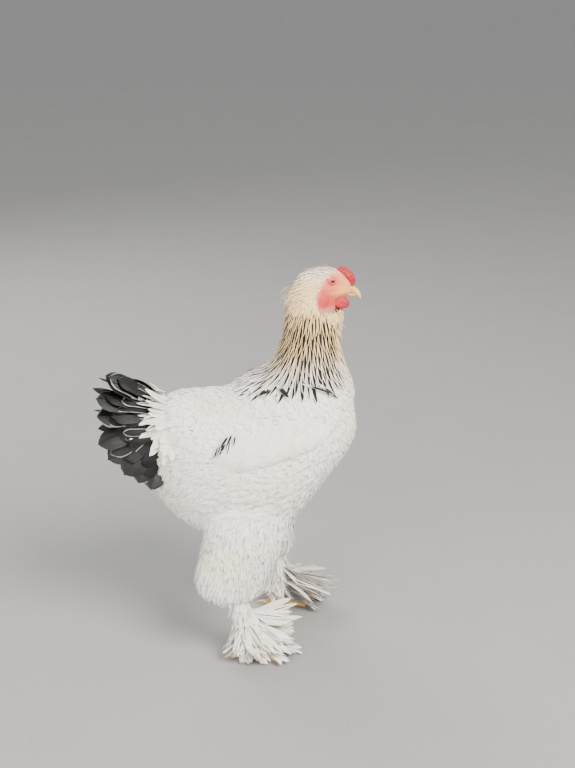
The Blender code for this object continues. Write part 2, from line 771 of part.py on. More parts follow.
def make_thigh(side, total, torso):
    """The thigh's plain form, and the thigh with the stiff hock feathers that point back and down past the joint."""
    rings = [
        level_ring(z, rear + leg_shift(z, total), front + leg_shift(z, total), side * inner, side * outer, 2.2, 16)
        for z, rear, front, inner, outer in spline_rows(THIGH_SECTIONS, 8)
    ]
    low = rings[-1]
    end = sum(low, Vector()) / len(low) - Vector((0, 0, 0.003))
    top = sum(rings[0], Vector()) / len(rings[0]) + Vector((0, 0, 0.004))
    form = shell("thigh_form", rings, top, end)
    thigh = duplicate(form, "thigh")
    pieces = new_pieces("thigh_pieces")
    # count, root height, distance of the roots from the leg's middle, length, width
    hock_tiers = ((5, 0.150, 0.029, 0.050, 0.027), (6, 0.176, 0.033, 0.056, 0.029))
    for count, height, away, length, width in hock_tiers:
        centre = Vector((leg_shift(height, total) - 0.052, side * 0.073, height))
        for i in range(count):
            t = i / (count - 1) - 0.5
            spread = math.radians(140 * t + 22)
            out = Vector((-math.cos(spread), side * math.sin(spread), 0.0))
            root = centre + Vector((out.x * away * 1.15, out.y * away * 0.9, 0.0))
            heading = out * 0.40 + Vector((-0.10, 0.0, -1.0))
            free_vane(root, heading, out + Vector((0, 0, 0.5)), length, width, ROUND_VANE,
                      math.radians(10), pieces, arch=0.0)
    fuse(thigh, pieces)
    cut_clear(thigh, torso)
    return form, thigh


# Toes of one foot: name, angle outwards from forward, length, base radius
TOES = (
    ("inner", -26.0, 0.046, 0.0066),
    ("middle", 4.0, 0.062, 0.0074),
    ("outer", 34.0, 0.050, 0.0066),
    ("hind", 172.0, 0.030, 0.0058),
)
CLAW_LENGTH = 0.015
SOLE_PRESS = 0.78               # the height of a toe's middle, as a share of its thickness


def toe_heading(side, angle):
    turn = math.radians(angle)
    return Vector((math.cos(turn), side * math.sin(turn), 0.0))


def sole_flat(target):
    """Cuts off what would reach below the floor, and closes the cut with a flat."""
    work = bmesh.new()
    work.from_mesh(target.data)
    everything = work.verts[:] + work.edges[:] + work.faces[:]
    bmesh.ops.bisect_plane(work, geom=everything, plane_co=(0, 0, 0), plane_no=(0, 0, -1), clear_outer=True)
    rim = [edge for edge in work.edges if edge.is_boundary]
    bmesh.ops.holes_fill(work, edges=rim, sides=0)
    bmesh.ops.triangulate(work, faces=work.faces)
    bmesh.ops.recalc_face_normals(work, faces=work.faces)
    work.to_mesh(target.data)
    work.free()


def make_foot(side, x, hock_x, thigh_form, claws):
    """The shank and toes with their boot of feathers, a fan from straight ahead to out and back."""
    ankle = Vector((x, side * STANCE_HALF_WIDTH, 0.017))
    hock = Vector((hock_x, side * STANCE_HALF_WIDTH, 0.130))
    shank_path = [hock.lerp(ankle, t) for t in np.linspace(0, 1, 4)]
    shank = tube("foot", shank_path, (0.0115, 0.0105, 0.0108, 0.0130), 10)
    pieces = new_pieces("foot_pieces")
    for name, angle, length, radius in TOES:
        heading = toe_heading(side, angle)
        start = ankle + Vector((0, 0, -0.003))
        path, radii = [], []
        for i in range(5):
            t = i / 4
            thick = radius * (1.0 - 0.30 * t)
            height = SOLE_PRESS * thick + (start.z - SOLE_PRESS * thick) * max(0.0, 1 - t / 0.5) ** 2
            centre = start + heading * (length * t)
            path.append(Vector((centre.x, centre.y, height)))
            radii.append(thick)
        toe = tube("toe_" + name, path, radii, 8, pieces)
        sole_flat(toe)
    boot_rows = (
        # count, root height, first and last angle, first and last length, width, first and last rise, droop
        (5, 0.096, -6.0, 196.0, 0.072, 0.042, 0.024, -0.25, -1.4, 14.0),
        (5, 0.073, 12.0, 176.0, 0.090, 0.052, 0.025, 0.00, -1.0, 18.0),
        (5, 0.050, -18.0, 150.0, 0.086, 0.046, 0.026, -0.08, -0.8, 20.0),
        (4, 0.028, 6.0, 124.0, 0.080, 0.044, 0.027, 0.02, -0.30, 22.0),
    )
    for count, height, first, last, long, short, width, rise, fall, droop in boot_rows:
        for i in range(count):
            t = i / (count - 1)
            angle = first + (last - first) * t
            heading = toe_heading(side, angle) + Vector((0, 0, rise + (fall - rise) * t**1.5))
            root = ankle.lerp(hock, (height - ankle.z) / (hock.z - ankle.z))
            outward = abs(math.sin(math.radians(angle)))
            face = toe_heading(side, angle + 90) * (1.0 - outward) + Vector((0, 0, 0.25 + 0.75 * outward))
            free_vane(root, heading, face, long + (short - long) * t, width, LONG_VANE,
                      math.radians(-droop), pieces, arch=0.0)
    for item in pieces.objects:
        for vertex in item.data.vertices:
            if not item.name.startswith("toe"):
                vertex.co.z = max(vertex.co.z, 0.0016 + 0.0010 * (vertex.index % 2))
    fuse(shank, pieces)
    cut_clear(shank, thigh_form, *claws)
    return shank


def make_claw(side, x, toe):
    """A blunt curved claw on one toe's end."""
    _, angle, length, radius = toe
    heading = toe_heading(side, angle)
    start = Vector((x, side * STANCE_HALF_WIDTH, 0.0)) + heading * (length - 0.002)
    thick = radius * 0.50
    path, radii = [], []
    for i in range(4):
        t = i / 3
        height = radius * 0.70 + 0.0016 * math.sin(math.pi * t) - (radius * 0.70 - 0.0014) * t**2
        path.append(Vector((start.x, start.y, height)) + heading * (CLAW_LENGTH * t))
        radii.append(thick * (1 - t) ** 0.8 + 0.0005)
    return tube("claw", path, radii, 6)


def stand_at_origin():
    """Moves the whole bird so that the middle of her box's base is the origin."""
    corners = [v.co for item in bpy.context.scene.objects for v in item.data.vertices]
    low = Vector([min(c[i] for c in corners) for i in range(3)])
    high = Vector([max(c[i] for c in corners) for i in range(3)])
    shift = Vector((-(low.x + high.x) / 2, -(low.y + high.y) / 2, -low.z))
    for item in bpy.context.scene.objects:
        item.data.transform(Matrix.Translation(shift))


def main():
    clear_scene()
    white = material("white_feather", WHITE, 0.75)
    cream = material("cream_feather", CREAM, 0.75)
    black = material("black_feather", BLACK, 0.45)
    red = material("red_skin", RED, 0.55)
    pink = material("pink_face", PINK, 0.65)
    horn = material("yellow_horn", HORN, 0.40)
    brown = material("brown_eye", EYE_BROWN, 0.08)

    torso = make_torso()
    skin = Skin(torso)
    skull = make_skull()
    eyes = {side: make_eye(side) for side in (1, -1)}
    head = make_head(skull, tuple(eyes.values()))
    upper = make_upper_bill(skull)
    lower = make_lower_bill(skull, upper)
    comb = make_comb(skull, upper)
    wattles = {side: make_wattle(side, skull, lower) for side in (1, -1)}
    lobes = {side: make_earlobe(side, skull) for side in (1, -1)}
    neck = make_neck(skin, torso, skull, lower, *wattles.values(), *lobes.values())
    tail = make_tail(torso)
    finish(torso, "torso", white)
    finish(head, "head", pink)
    finish(upper, "bill_upper", horn)
    finish(lower, "bill_lower", horn)
    finish(comb, "comb", red)
    finish(neck, "neck", cream)
    finish(tail, "tail", black)
    legs = ((1, "left", LEFT_FOOT_X, LEFT_HOCK_X), (-1, "right", RIGHT_FOOT_X, RIGHT_HOCK_X))
    for side, word, foot_x, hock_x in legs:
        finish(eyes[side], "eye_" + word, brown)
        finish(wattles[side], "wattle_" + word, red)
        finish(lobes[side], "earlobe_" + word, red)
        finish(make_wing(side, torso, skin), "wing_" + word, white)
        form, thigh = make_thigh(side, hock_x - RIGHT_HOCK_X, torso)
        finish(thigh, "thigh_" + word, white)
        claws = [make_claw(side, foot_x, toe) for toe in TOES]
        finish(make_foot(side, foot_x, hock_x, form, claws), "foot_" + word, white)
        for toe, claw in zip(TOES, claws):
            finish(claw, f"claw_{toe[0]}_{word}", horn)
        bpy.data.objects.remove(form)
    bpy.data.objects.remove(skull)
    stand_at_origin()


main()
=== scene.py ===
# %% [markdown]
# # A Light Brahma hen, life size
# The hen stands on a pale floor as a museum model would. Her solids come packed and measured, and
# this lesson dresses them: one skin under everything, thousands of feathers laid over it like roof
# tiles, and separate pieces for the eyes, bill, comb, wattles and claws. The imported solids say
# where everything goes, so the lesson starts by loading them.

# %% Load the imported hen
import math

import bmesh
import bpy
import numpy as np
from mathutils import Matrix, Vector
from mathutils.bvhtree import BVHTree


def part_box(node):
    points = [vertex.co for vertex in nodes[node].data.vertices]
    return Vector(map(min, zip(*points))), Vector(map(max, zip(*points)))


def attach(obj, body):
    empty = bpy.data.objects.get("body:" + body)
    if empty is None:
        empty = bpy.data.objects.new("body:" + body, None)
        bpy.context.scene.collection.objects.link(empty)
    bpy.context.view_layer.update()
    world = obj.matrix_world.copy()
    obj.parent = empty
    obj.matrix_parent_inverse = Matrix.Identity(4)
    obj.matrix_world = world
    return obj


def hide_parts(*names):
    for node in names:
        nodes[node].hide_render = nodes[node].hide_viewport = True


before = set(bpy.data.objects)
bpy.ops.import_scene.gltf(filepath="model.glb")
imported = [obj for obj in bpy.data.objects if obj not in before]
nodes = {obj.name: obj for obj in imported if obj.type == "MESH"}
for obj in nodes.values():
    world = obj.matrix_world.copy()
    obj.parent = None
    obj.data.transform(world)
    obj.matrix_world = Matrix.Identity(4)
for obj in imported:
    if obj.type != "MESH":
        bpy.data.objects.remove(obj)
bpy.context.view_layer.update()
SIDES = (("left", 1), ("right", -1))
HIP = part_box("torso")[0].x + 0.178

# %% [markdown]
# The camera stands where the photograph was taken: a little over a metre up, two metres out on the
# hen's right side, ten degrees towards her tail, and tipped down. Its lens is a mild portrait lens.
# The lamps are three large soft ones, because a white bird loses its feathers in hard light, and
# the floor is a plain pale one.

# %% Camera, lamps and floor
CAMERA_DISTANCE = 2.0
CAMERA_HEIGHT = 1.15
CAMERA_TIP = 19.6
CAMERA_TURN = 10.0
CAMERA_OFFSET = -0.0476


def look_from_the_side():
    turn = math.radians(CAMERA_TURN)
    back, out = math.sin(turn), math.cos(turn)
    place = (
        HIP - CAMERA_OFFSET * out - CAMERA_DISTANCE * back,
        CAMERA_OFFSET * back - CAMERA_DISTANCE * out,
        CAMERA_HEIGHT,
    )
    bpy.ops.object.camera_add(location=place, rotation=(math.radians(90 - CAMERA_TIP), 0, -turn))
    camera = bpy.context.object
    camera.name = "camera"
    camera.data.sensor_fit = "VERTICAL"
    camera.data.sensor_height = 36
    camera.data.lens = 63
    bpy.context.scene.camera = camera
    return camera


def soft_lamp(name, place, aim, size, power, colour):
    bpy.ops.object.light_add(type="AREA", location=place)
    lamp = bpy.context.object
    lamp.name = name
    lamp.data.shape = "DISK"
    lamp.data.size = size
    lamp.data.energy = power
    lamp.data.color = colour
    lamp.rotation_euler = (Vector(aim) - Vector(place)).to_track_quat("-Z", "Y").to_euler()
    return lamp


camera = look_from_the_side()
soft_lamp("key lamp", (1.1, -1.9, 2.3), (0, 0, 0.3), 1.5, 190, (1.0, 0.965, 0.91))
soft_lamp("fill lamp", (-1.5, -2.2, 0.8), (0, 0, 0.3), 2.2, 85, (1.0, 0.985, 0.96))
soft_lamp("back lamp", (-0.9, 2.1, 1.9), (0, 0, 0.35), 1.6, 60, (1.0, 1.0, 1.0))
world = bpy.data.worlds.new("studio")
bpy.context.scene.world = world
world.use_nodes = True
world.node_tree.nodes["Background"].inputs["Color"].default_value = (0.84, 0.85, 0.87, 1)
world.node_tree.nodes["Background"].inputs["Strength"].default_value = 0.95
bpy.ops.mesh.primitive_plane_add(size=80, location=(0, 0, -0.0004))
floor = bpy.context.object
floor.name = "floor"
print("camera at", [round(v, 3) for v in camera.location])

# %% [markdown]
# A feather's colour comes from three things: the colour of its web, the fine slanting barbs that the
# web is made of, and, on the neck and tail, a dark centre or a pale edge. Each feather carries its
# own map called Vane, with the shaft up the middle, so one small group of nodes can draw the barbs
# on every feather, and a second one the dark centre that gives the neck its stripes. A picture of
# feathers would be quicker, but it would blur up close and could not follow the shafts.

# %% Node helpers
def new_group(name, inputs, outputs):
    group = bpy.data.node_groups.new(name, "ShaderNodeTree")
    for socket, kind in inputs:
        group.interface.new_socket(name=socket, in_out="INPUT", socket_type=kind)
    for socket, kind in outputs:
        group.interface.new_socket(name=socket, in_out="OUTPUT", socket_type=kind)
    return group, group.nodes.new("NodeGroupInput"), group.nodes.new("NodeGroupOutput")


def feed(tree, socket, value):
    """Links a node's output to the socket, or stores a plain value in it."""
    if isinstance(value, bpy.types.NodeSocket):
        tree.links.new(value, socket)
    elif value is not None:
        socket.default_value = value


def math_node(tree, operation, first, second=None, third=None):
    node = tree.nodes.new("ShaderNodeMath")
    node.operation = operation
    for socket, value in zip(node.inputs, (first, second, third)):
        feed(tree, socket, value)
    return node.outputs[0]


def mix_node(tree, share, first, second, blend="MIX"):
    node = tree.nodes.new("ShaderNodeMix")
    node.data_type = "RGBA"
    node.blend_type = blend
    for slot, value in ((0, share), (6, first), (7, second)):
        feed(tree, node.inputs[slot], value)
    return node.outputs[2]


def shaded(tree, colour, share, dark, light):
    """The colour times a tone that runs from dark to light by the share."""
    return mix_node(tree, 1.0, colour, mix_node(tree, share, dark, light), "MULTIPLY")


def ramp_node(tree, value, low, high):
    node = tree.nodes.new("ShaderNodeMapRange")
    node.interpolation_type = "SMOOTHSTEP"
    for socket, given in zip(node.inputs, (value, low, high)):
        feed(tree, socket, given)
    return node.outputs[0]


def noise_node(tree, where, scale, detail=3.0, rough=0.55):
    node = tree.nodes.new("ShaderNodeTexNoise")
    for name, value in (("Scale", scale), ("Detail", detail), ("Roughness", rough), ("Vector", where)):
        feed(tree, node.inputs[name], value)
    return node.outputs["Fac"]


def attribute(tree, name, output="Fac"):
    node = tree.nodes.new("ShaderNodeAttribute")
    node.attribute_name = name
    return node.outputs[output]


def add_bump(tree, shader, height, strength, distance):
    node = tree.nodes.new("ShaderNodeBump")
    for name, value in (("Strength", strength), ("Distance", distance), ("Height", height)):
        feed(tree, node.inputs[name], value)
    tree.links.new(node.outputs[0], shader.inputs["Normal"])


def new_finish(name):
    made = bpy.data.materials.new(name)
    made.use_nodes = True
    return made, made.node_tree, made.node_tree.nodes["Principled BSDF"]


def grey(value):
    return (value, value, value, 1.0)


def object_place(tree):
    return tree.nodes.new("ShaderNodeTexCoord").outputs["Object"]


print("node helpers ready")

# %% Feather pattern groups
def vane_place(group, given):
    """How far a point of the vane is from the shaft, and how far along the feather."""
    apart = group.nodes.new("ShaderNodeSeparateXYZ")
    group.links.new(given.outputs["Vane"], apart.inputs[0])
    aside = math_node(group, "ABSOLUTE", math_node(group, "SUBTRACT", apart.outputs[0], 0.5))
    return aside, apart.outputs[1]


def barb_group():
    group, given, wanted = new_group(
        "feather barbs", [("Vane", "NodeSocketVector"), ("Barbs", "NodeSocketFloat")],
        [("Lines", "NodeSocketFloat"), ("Shaft", "NodeSocketFloat")],
    )
    aside, up_vane = vane_place(group, given)
    slant = math_node(group, "SUBTRACT", up_vane, math_node(group, "MULTIPLY", aside, 0.9))
    waver = noise_node(group, given.outputs["Vane"], 7.0)
    along = math_node(group, "MULTIPLY_ADD", waver, 0.16, slant)
    wave = math_node(group, "SINE", math_node(group, "MULTIPLY", along, given.outputs["Barbs"]))
    lines = math_node(group, "MULTIPLY_ADD", wave, 0.5, 0.5)
    group.links.new(lines, wanted.inputs["Lines"])
    shaft = math_node(group, "SUBTRACT", 1.0, ramp_node(group, aside, 0.012, 0.040))
    group.links.new(shaft, wanted.inputs["Shaft"])
    return group


def centre_group():
    group, given, wanted = new_group(
        "feather dark centre",
        [("Vane", "NodeSocketVector"), ("Width", "NodeSocketFloat"), ("Start", "NodeSocketFloat")],
        [("Centre", "NodeSocketFloat")],
    )
    aside, up_vane = vane_place(group, given)
    waver = noise_node(group, given.outputs["Vane"], 9.0)
    aside = math_node(group, "MULTIPLY_ADD", math_node(group, "SUBTRACT", waver, 0.5), 0.10, aside)
    tip = math_node(group, "POWER", up_vane, 24.0)
    edge = math_node(group, "MULTIPLY", given.outputs["Width"], math_node(group, "SUBTRACT", 1.0, tip))
    inner = math_node(group, "SUBTRACT", edge, 0.045)
    across = math_node(group, "SUBTRACT", 1.0, ramp_node(group, aside, inner, edge))
    late = math_node(group, "ADD", given.outputs["Start"], 0.25)
    begun = ramp_node(group, up_vane, given.outputs["Start"], late)
    group.links.new(math_node(group, "MULTIPLY", across, begun), wanted.inputs["Centre"])
    return group


BARBS = barb_group()
CENTRE = centre_group()
print("groups:", BARBS.name, "and", CENTRE.name)


# %% Plumage materials
CENTRE_WIDTH = 0.31  # of the vane, where the painted mark is 1
EDGE_WIDTH = 0.475
STAIN = (1.0, 0.955, 0.84, 1.0)


def plumage(name, barbs, line_shade, roughness, bump, centre_colour=None, edge_colour=None, blotch=0.10,
            sheen=0.15):
    """One feather finish. The tint is painted on each feather; centre and edge are drawn over it."""
    made, tree, shader = new_finish(name)
    vane_map = tree.nodes.new("ShaderNodeUVMap")
    vane_map.uv_map = "Vane"
    lines = tree.nodes.new("ShaderNodeGroup")
    lines.node_tree = BARBS
    tree.links.new(vane_map.outputs[0], lines.inputs["Vane"])
    lines.inputs["Barbs"].default_value = barbs
    colour = attribute(tree, "tint", "Color")
    for mark, ink in (("edge", edge_colour), ("centre", centre_colour)):
        if ink is None:
            continue
        strength = attribute(tree, mark)
        pattern = tree.nodes.new("ShaderNodeGroup")
        pattern.node_tree = CENTRE
        centred = mark == "centre"
        width = math_node(tree, "MULTIPLY", strength, CENTRE_WIDTH) if centred else EDGE_WIDTH
        start = 0.15 if centred else -0.30
        for socket, value in (("Vane", vane_map.outputs[0]), ("Width", width), ("Start", start)):
            feed(tree, pattern.inputs[socket], value)
        inside = pattern.outputs["Centre"]
        drawn = inside if centred else math_node(tree, "SUBTRACT", 1.0, inside)
        shown = ramp_node(tree, strength, 0.0, 0.2) if centred else strength
        colour = mix_node(tree, math_node(tree, "MULTIPLY", drawn, shown), colour, (*ink, 1.0))
    colour = shaded(tree, colour, noise_node(tree, object_place(tree), 34.0), grey(1 - blotch), grey(1.0))
    stain = ramp_node(tree, noise_node(tree, object_place(tree), 11.0, detail=2.0), 0.48, 0.72)
    colour = shaded(tree, colour, stain, grey(1.0), STAIN)
    colour = shaded(tree, colour, lines.outputs["Lines"], grey(1.0 - line_shade), grey(1.0))
    rough = math_node(tree, "MULTIPLY_ADD", lines.outputs["Lines"], 0.10, roughness - 0.05)
    height = math_node(tree, "MULTIPLY_ADD", lines.outputs["Shaft"], 1.2, lines.outputs["Lines"])
    add_bump(tree, shader, height, bump, 0.0002)
    for socket, value in (("Base Color", colour), ("Roughness", rough), ("Sheen Weight", sheen),
                          ("Specular IOR Level", 0.30), ("Sheen Roughness", 0.6)):
        feed(tree, shader.inputs[socket], value)
    return made


WHITE_PLUMAGE = plumage("white plumage", 95.0, 0.05, 0.80, 0.30, blotch=0.06)
HACKLE_PLUMAGE = plumage("striped hackle", 120.0, 0.08, 0.74, 0.35, centre_colour=(0.0045, 0.0035, 0.0035),
                         blotch=0.06, sheen=0.02)
TAIL_PLUMAGE = plumage(
    "black tail", 150.0, 0.45, 0.40, 0.6, centre_colour=(0.004, 0.005, 0.007), edge_colour=(0.70, 0.68, 0.64),
    blotch=0.35, sheen=0.0,
)
print("plumage materials:", WHITE_PLUMAGE.name, HACKLE_PLUMAGE.name, TAIL_PLUMAGE.name)

# %% [markdown]
# Under the feathers of any bird lies one smooth outline, the coat. It is made here from the packed
# torso, merged and rounded, and from four forms that are grown ring by ring the way a glass blower
# draws a shape: the neck's cape, the head and the two thighs. Joined and remeshed they flow into
# each other, so a feather on the nape can run on over the back without a step. The skin is the same
# form pulled in by the depth of the feathers, and left where it is on the bare face.

# %% Growing a form ring by ring
def alone(piece):
    bpy.ops.object.select_all(action="DESELECT")
    piece.select_set(True)
    bpy.context.view_layer.objects.active = piece


def edit_all():
    """Opens the active piece in edit mode with everything selected."""
    bpy.ops.object.mode_set(mode="EDIT")
    bpy.ops.mesh.select_all(action="SELECT")


def edit_done():
    bpy.ops.object.mode_set(mode="OBJECT")


def join_into(target, pieces):
    alone(target)
    for piece in pieces:
        piece.select_set(True)
    bpy.ops.object.join()


def set_down(piece, place, turn):
    """Gives the active piece its place and turn for good, and smooth shading."""
    piece.location, piece.rotation_euler = place, turn
    bpy.ops.object.transform_apply(location=True, rotation=True, scale=True)
    bpy.ops.object.shade_smooth()


def smooth_rows(rows, count):
    """The rows read at count places along a smooth curve through them."""
    table = np.array(rows, float)
    last = len(table) - 1
    found = []
    for place in np.linspace(0.0, last, count):
        i = min(int(place), last - 1)
        t = place - i
        before, start, end, after = table[max(i - 1, 0)], table[i], table[i + 1], table[min(i + 2, last)]
        slope_in, slope_out = (end - before) / 2, (after - start) / 2
        found.append(
            (2 * t**3 - 3 * t**2 + 1) * start + (t**3 - 2 * t**2 + t) * slope_in
            + (3 * t**2 - 2 * t**3) * end + (t**3 - t**2) * slope_out
        )
    return found


def grow(name, rings, sides=32, upright=False):
    """A closed form; each ring is (centre, half size 1, half size 2), level, or upright across the body."""
    turn = (0.0, math.pi / 2, 0.0) if upright else (0.0, 0.0, 0.0)
    bpy.ops.object.select_all(action="DESELECT")
    bpy.ops.mesh.primitive_circle_add(vertices=sides, radius=1.0, fill_type="NGON", rotation=turn)
    form = bpy.context.object
    form.name = name
    bpy.ops.object.transform_apply(location=False, rotation=True, scale=False)

    def spread(first, second):
        return (1.0, first, second) if upright else (first, second, 1.0)

    edit_all()
    centre, first, second = rings[0]
    bpy.ops.transform.resize(value=spread(first, second))
    bpy.ops.transform.translate(value=centre)
    for (before, old_first, old_second), (centre, first, second) in zip(rings, rings[1:]):
        step = Vector(centre) - Vector(before)
        bpy.ops.mesh.extrude_region_move(TRANSFORM_OT_translate={"value": step})
        bpy.ops.transform.resize(value=spread(first / old_first, second / old_second), center_override=centre)
    bpy.ops.mesh.select_all(action="SELECT")
    bpy.ops.mesh.normals_make_consistent(inside=False)
    edit_done()
    return form


def use_modifier(piece, kind, **settings):
    alone(piece)
    modifier = piece.modifiers.new("shape", kind)
    for name, value in settings.items():
        setattr(modifier, name, value)
    bpy.ops.object.modifier_apply(modifier=modifier.name)


print("forms can be grown")

# %% The coat's outline: neck, head and thighs
CAPE_ROWS = (  # height, back, front, half width of the neck with its feathers
    (0.600, 0.062, 0.110, 0.022), (0.575, 0.048, 0.131, 0.035), (0.545, 0.043, 0.137, 0.042),
    (0.510, 0.038, 0.134, 0.046), (0.480, 0.026, 0.138, 0.053), (0.460, 0.008, 0.144, 0.062),
    (0.447, -0.014, 0.149, 0.073), (0.436, -0.034, 0.153, 0.084), (0.424, -0.050, 0.156, 0.093),
    (0.410, -0.058, 0.156, 0.098), (0.392, -0.056, 0.150, 0.098), (0.372, -0.040, 0.132, 0.090),
)
HEAD_ROWS = (  # distance ahead of the hip, crown, chin, half width
    (0.066, 0.6050, 0.5830, 0.0110), (0.074, 0.6135, 0.5690, 0.0200), (0.088, 0.6195, 0.5590, 0.0256),
    (0.104, 0.6225, 0.5545, 0.0268), (0.119, 0.6215, 0.5550, 0.0250), (0.131, 0.6165, 0.5610, 0.0200),
    (0.140, 0.6080, 0.5665, 0.0150), (0.146, 0.6000, 0.5710, 0.0105),
)
THIGH_ROWS = (  # height, rear, front, inner and outer side, as on the right leg
    (0.300, -0.092, 0.050, 0.012, 0.094), (0.250, -0.097, 0.048, 0.014, 0.108),
    (0.205, -0.096, 0.036, 0.020, 0.111), (0.170, -0.105, 0.020, 0.028, 0.111),
    (0.140, -0.111, 0.004, 0.038, 0.108), (0.118, -0.106, -0.008, 0.046, 0.104),
    (0.104, -0.090, -0.018, 0.056, 0.097),
)
LEFT_HOCK_AHEAD = 0.085
HACKLE_LANES = 48
CAPE_TABLE = np.array(CAPE_ROWS)[::-1]


def neck_at(height):
    """The neck's middle and half length ahead of the hip, and its half width, at each height."""
    back, front, flank = (np.interp(height, CAPE_TABLE[:, 0], CAPE_TABLE[:, i]) for i in (1, 2, 3))
    return (back + front) / 2, (front - back) / 2, flank


def leg_shift(height, total):
    return total * min(1.0, max(0.0, (0.34 - height) / 0.235)) ** 1.6


def neck_form():
    rings = [((HIP + (b + f) / 2, 0, z), (f - b) / 2, h) for z, b, f, h in smooth_rows(CAPE_ROWS, 24)]
    return grow("neck form", rings)


def head_form():
    rings = [((HIP + x, 0, (t + b) / 2), h, (t - b) / 2) for x, t, b, h in smooth_rows(HEAD_ROWS, 18)]
    nose = rings[-1]
    rings.append(((nose[0][0] + 0.003, 0, nose[0][2]), nose[1] * 0.6, nose[2] * 0.6))
    back = rings[0]
    rings.insert(0, ((back[0][0] - 0.003, 0, back[0][2]), back[1] * 0.5, back[2] * 0.5))
    return grow("head form", rings, upright=True)


def thigh_form(side, ahead):
    rings = [
        ((HIP + (r + f) / 2 + leg_shift(z, ahead), side * (i + o) / 2, z), (f - r) / 2, (o - i) / 2)
        for z, r, f, i, o in smooth_rows(THIGH_ROWS, 14)
    ]
    return grow("thigh form", rings)


forms = [neck_form(), head_form(), thigh_form(1, LEFT_HOCK_AHEAD), thigh_form(-1, 0.0)]
print("grown:", [form.name for form in forms])

# %% The coat's outline: torso and joining
def copy_of(node, name):
    """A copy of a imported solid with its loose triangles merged."""
    alone(nodes[node])
    bpy.ops.object.duplicate()
    copy = bpy.context.object
    copy.name = name
    copy.parent = None
    for key in list(copy.keys()):
        del copy[key]
    copy.data.materials.clear()
    edit_all()
    bpy.ops.mesh.remove_doubles(threshold=0.00001)
    bpy.ops.mesh.tris_convert_to_quads()
    edit_done()
    return copy


def join_forms(pieces, name, voxel, rounds):
    joined = pieces[0]
    join_into(joined, pieces)
    joined.name = name
    joined.data.remesh_voxel_size = voxel
    bpy.ops.object.voxel_remesh()
    use_modifier(joined, "SMOOTH", factor=0.5, iterations=rounds)
    return joined


torso_form = copy_of("torso", "torso form")
use_modifier(torso_form, "SUBSURF", levels=2, render_levels=2)
use_modifier(torso_form, "DISPLACE", strength=0.0008, mid_level=0.0)
coat = join_forms([torso_form, *forms], "coat form", 0.003, 8)
for name, level, reach_up, rounds in (("shoulders", 0.408, 0.050, 36), ("hips", 0.285, 0.055, 30)):
    band = coat.vertex_groups.new(name=name)
    for vertex in coat.data.vertices:
        near = max(0.0, 1.0 - abs(vertex.co.z - level) / reach_up)
        if near > 0:
            band.add([vertex.index], min(1.0, near * 1.6), "REPLACE")
    use_modifier(coat, "SMOOTH", factor=0.5, iterations=rounds, vertex_group=name)
print("coat form:", len(coat.data.polygons), "faces, from", [round(v, 3) for v in coat.bound_box[0]])

# %% [markdown]
# The folded wing lies against the body's side as a long pad with a crease under its lower edge. It
# is raised straight out of the coat's outline, so the coverts later lie on it as on the rest.

# %% The coat's outline: folded wings
WING_ROWS = (  # distance ahead of the hip, middle height, half height, how far it stands out
    (0.134, 0.415, 0.015, 0.0010), (0.118, 0.414, 0.020, 0.0028), (0.088, 0.407, 0.030, 0.0048),
    (0.050, 0.397, 0.038, 0.0060), (0.005, 0.387, 0.042, 0.0064), (-0.035, 0.378, 0.041, 0.0060),
    (-0.070, 0.375, 0.030, 0.0048),
)


def read_points(mesh):
    points = np.empty(len(mesh.vertices) * 3, np.float32)
    mesh.vertices.foreach_get("co", points)
    normals = np.empty(len(mesh.vertices) * 3, np.float32)
    mesh.vertices.foreach_get("normal", normals)
    return points.reshape(-1, 3), normals.reshape(-1, 3)


def wing_rise(ahead, height):
    """How far the folded wing stands out of the body's side at this place."""
    table = np.array(WING_ROWS)[::-1]
    middle, half, thick = (np.interp(ahead, table[:, 0], table[:, i]) for i in (1, 2, 3))
    across = (height - middle) / half
    ends = np.clip((0.136 - ahead) / 0.012, 0, 1) * np.clip((ahead + 0.082) / 0.016, 0, 1)
    upper = np.clip(1 - across**2, 0, 1)
    lower = np.clip(1 - across**4, 0, 1) ** 0.9
    return thick * ends * np.where(across > 0, upper, lower)


def move_points(piece, points):
    piece.data.vertices.foreach_set("co", points.ravel())
    piece.data.update()


points, normals = read_points(coat.data)
rise = wing_rise(points[:, 0] - HIP, points[:, 2]) * (np.abs(points[:, 1]) > 0.05)
points += normals * rise[:, None]
move_points(coat, points)
use_modifier(coat, "SMOOTH", factor=0.4, iterations=2)
print("wings raised by up to", round(float(rise.max()) * 1000, 1), "mm")

# %% [markdown]
# The skin starts as a copy of the coat's outline. The faces of its head are divided finer, because a
# face has folds a feather's width across, and then every point moves in along its normal by the
# depth of the feathers there: a dozen millimetres on the neck, six on the body, none on the bare
# face. The face gets its cheeks, brow, eye hollow, jaw fold and throat as soft swellings, each one a
# named place with a size and a height, which is quicker to correct than a sculpted surface.

# %% Skin: depth under the feathers, and the face's swellings
FACE_SWELLINGS = (  # ahead, aside, height, size along, size up, how far out
    (0.1200, 0.0250, 0.5790, 0.0120, 0.0095, 0.0024),
    (0.1160, 0.0215, 0.6125, 0.0125, 0.0030, 0.0016),
    (0.1155, 0.0240, 0.6030, 0.0080, 0.0058, -0.0016),
    (0.1160, 0.0245, 0.5945, 0.0100, 0.0022, 0.0010),
    (0.1300, 0.0180, 0.5930, 0.0060, 0.0060, -0.0010),
    (0.1340, 0.0150, 0.5730, 0.0070, 0.0024, 0.0014),
    (0.1070, 0.0250, 0.5700, 0.0060, 0.0060, -0.0010),
    (0.0985, 0.0250, 0.5880, 0.0038, 0.0040, -0.0016),
    (0.1400, 0.0130, 0.5990, 0.0060, 0.0050, 0.0010),
)


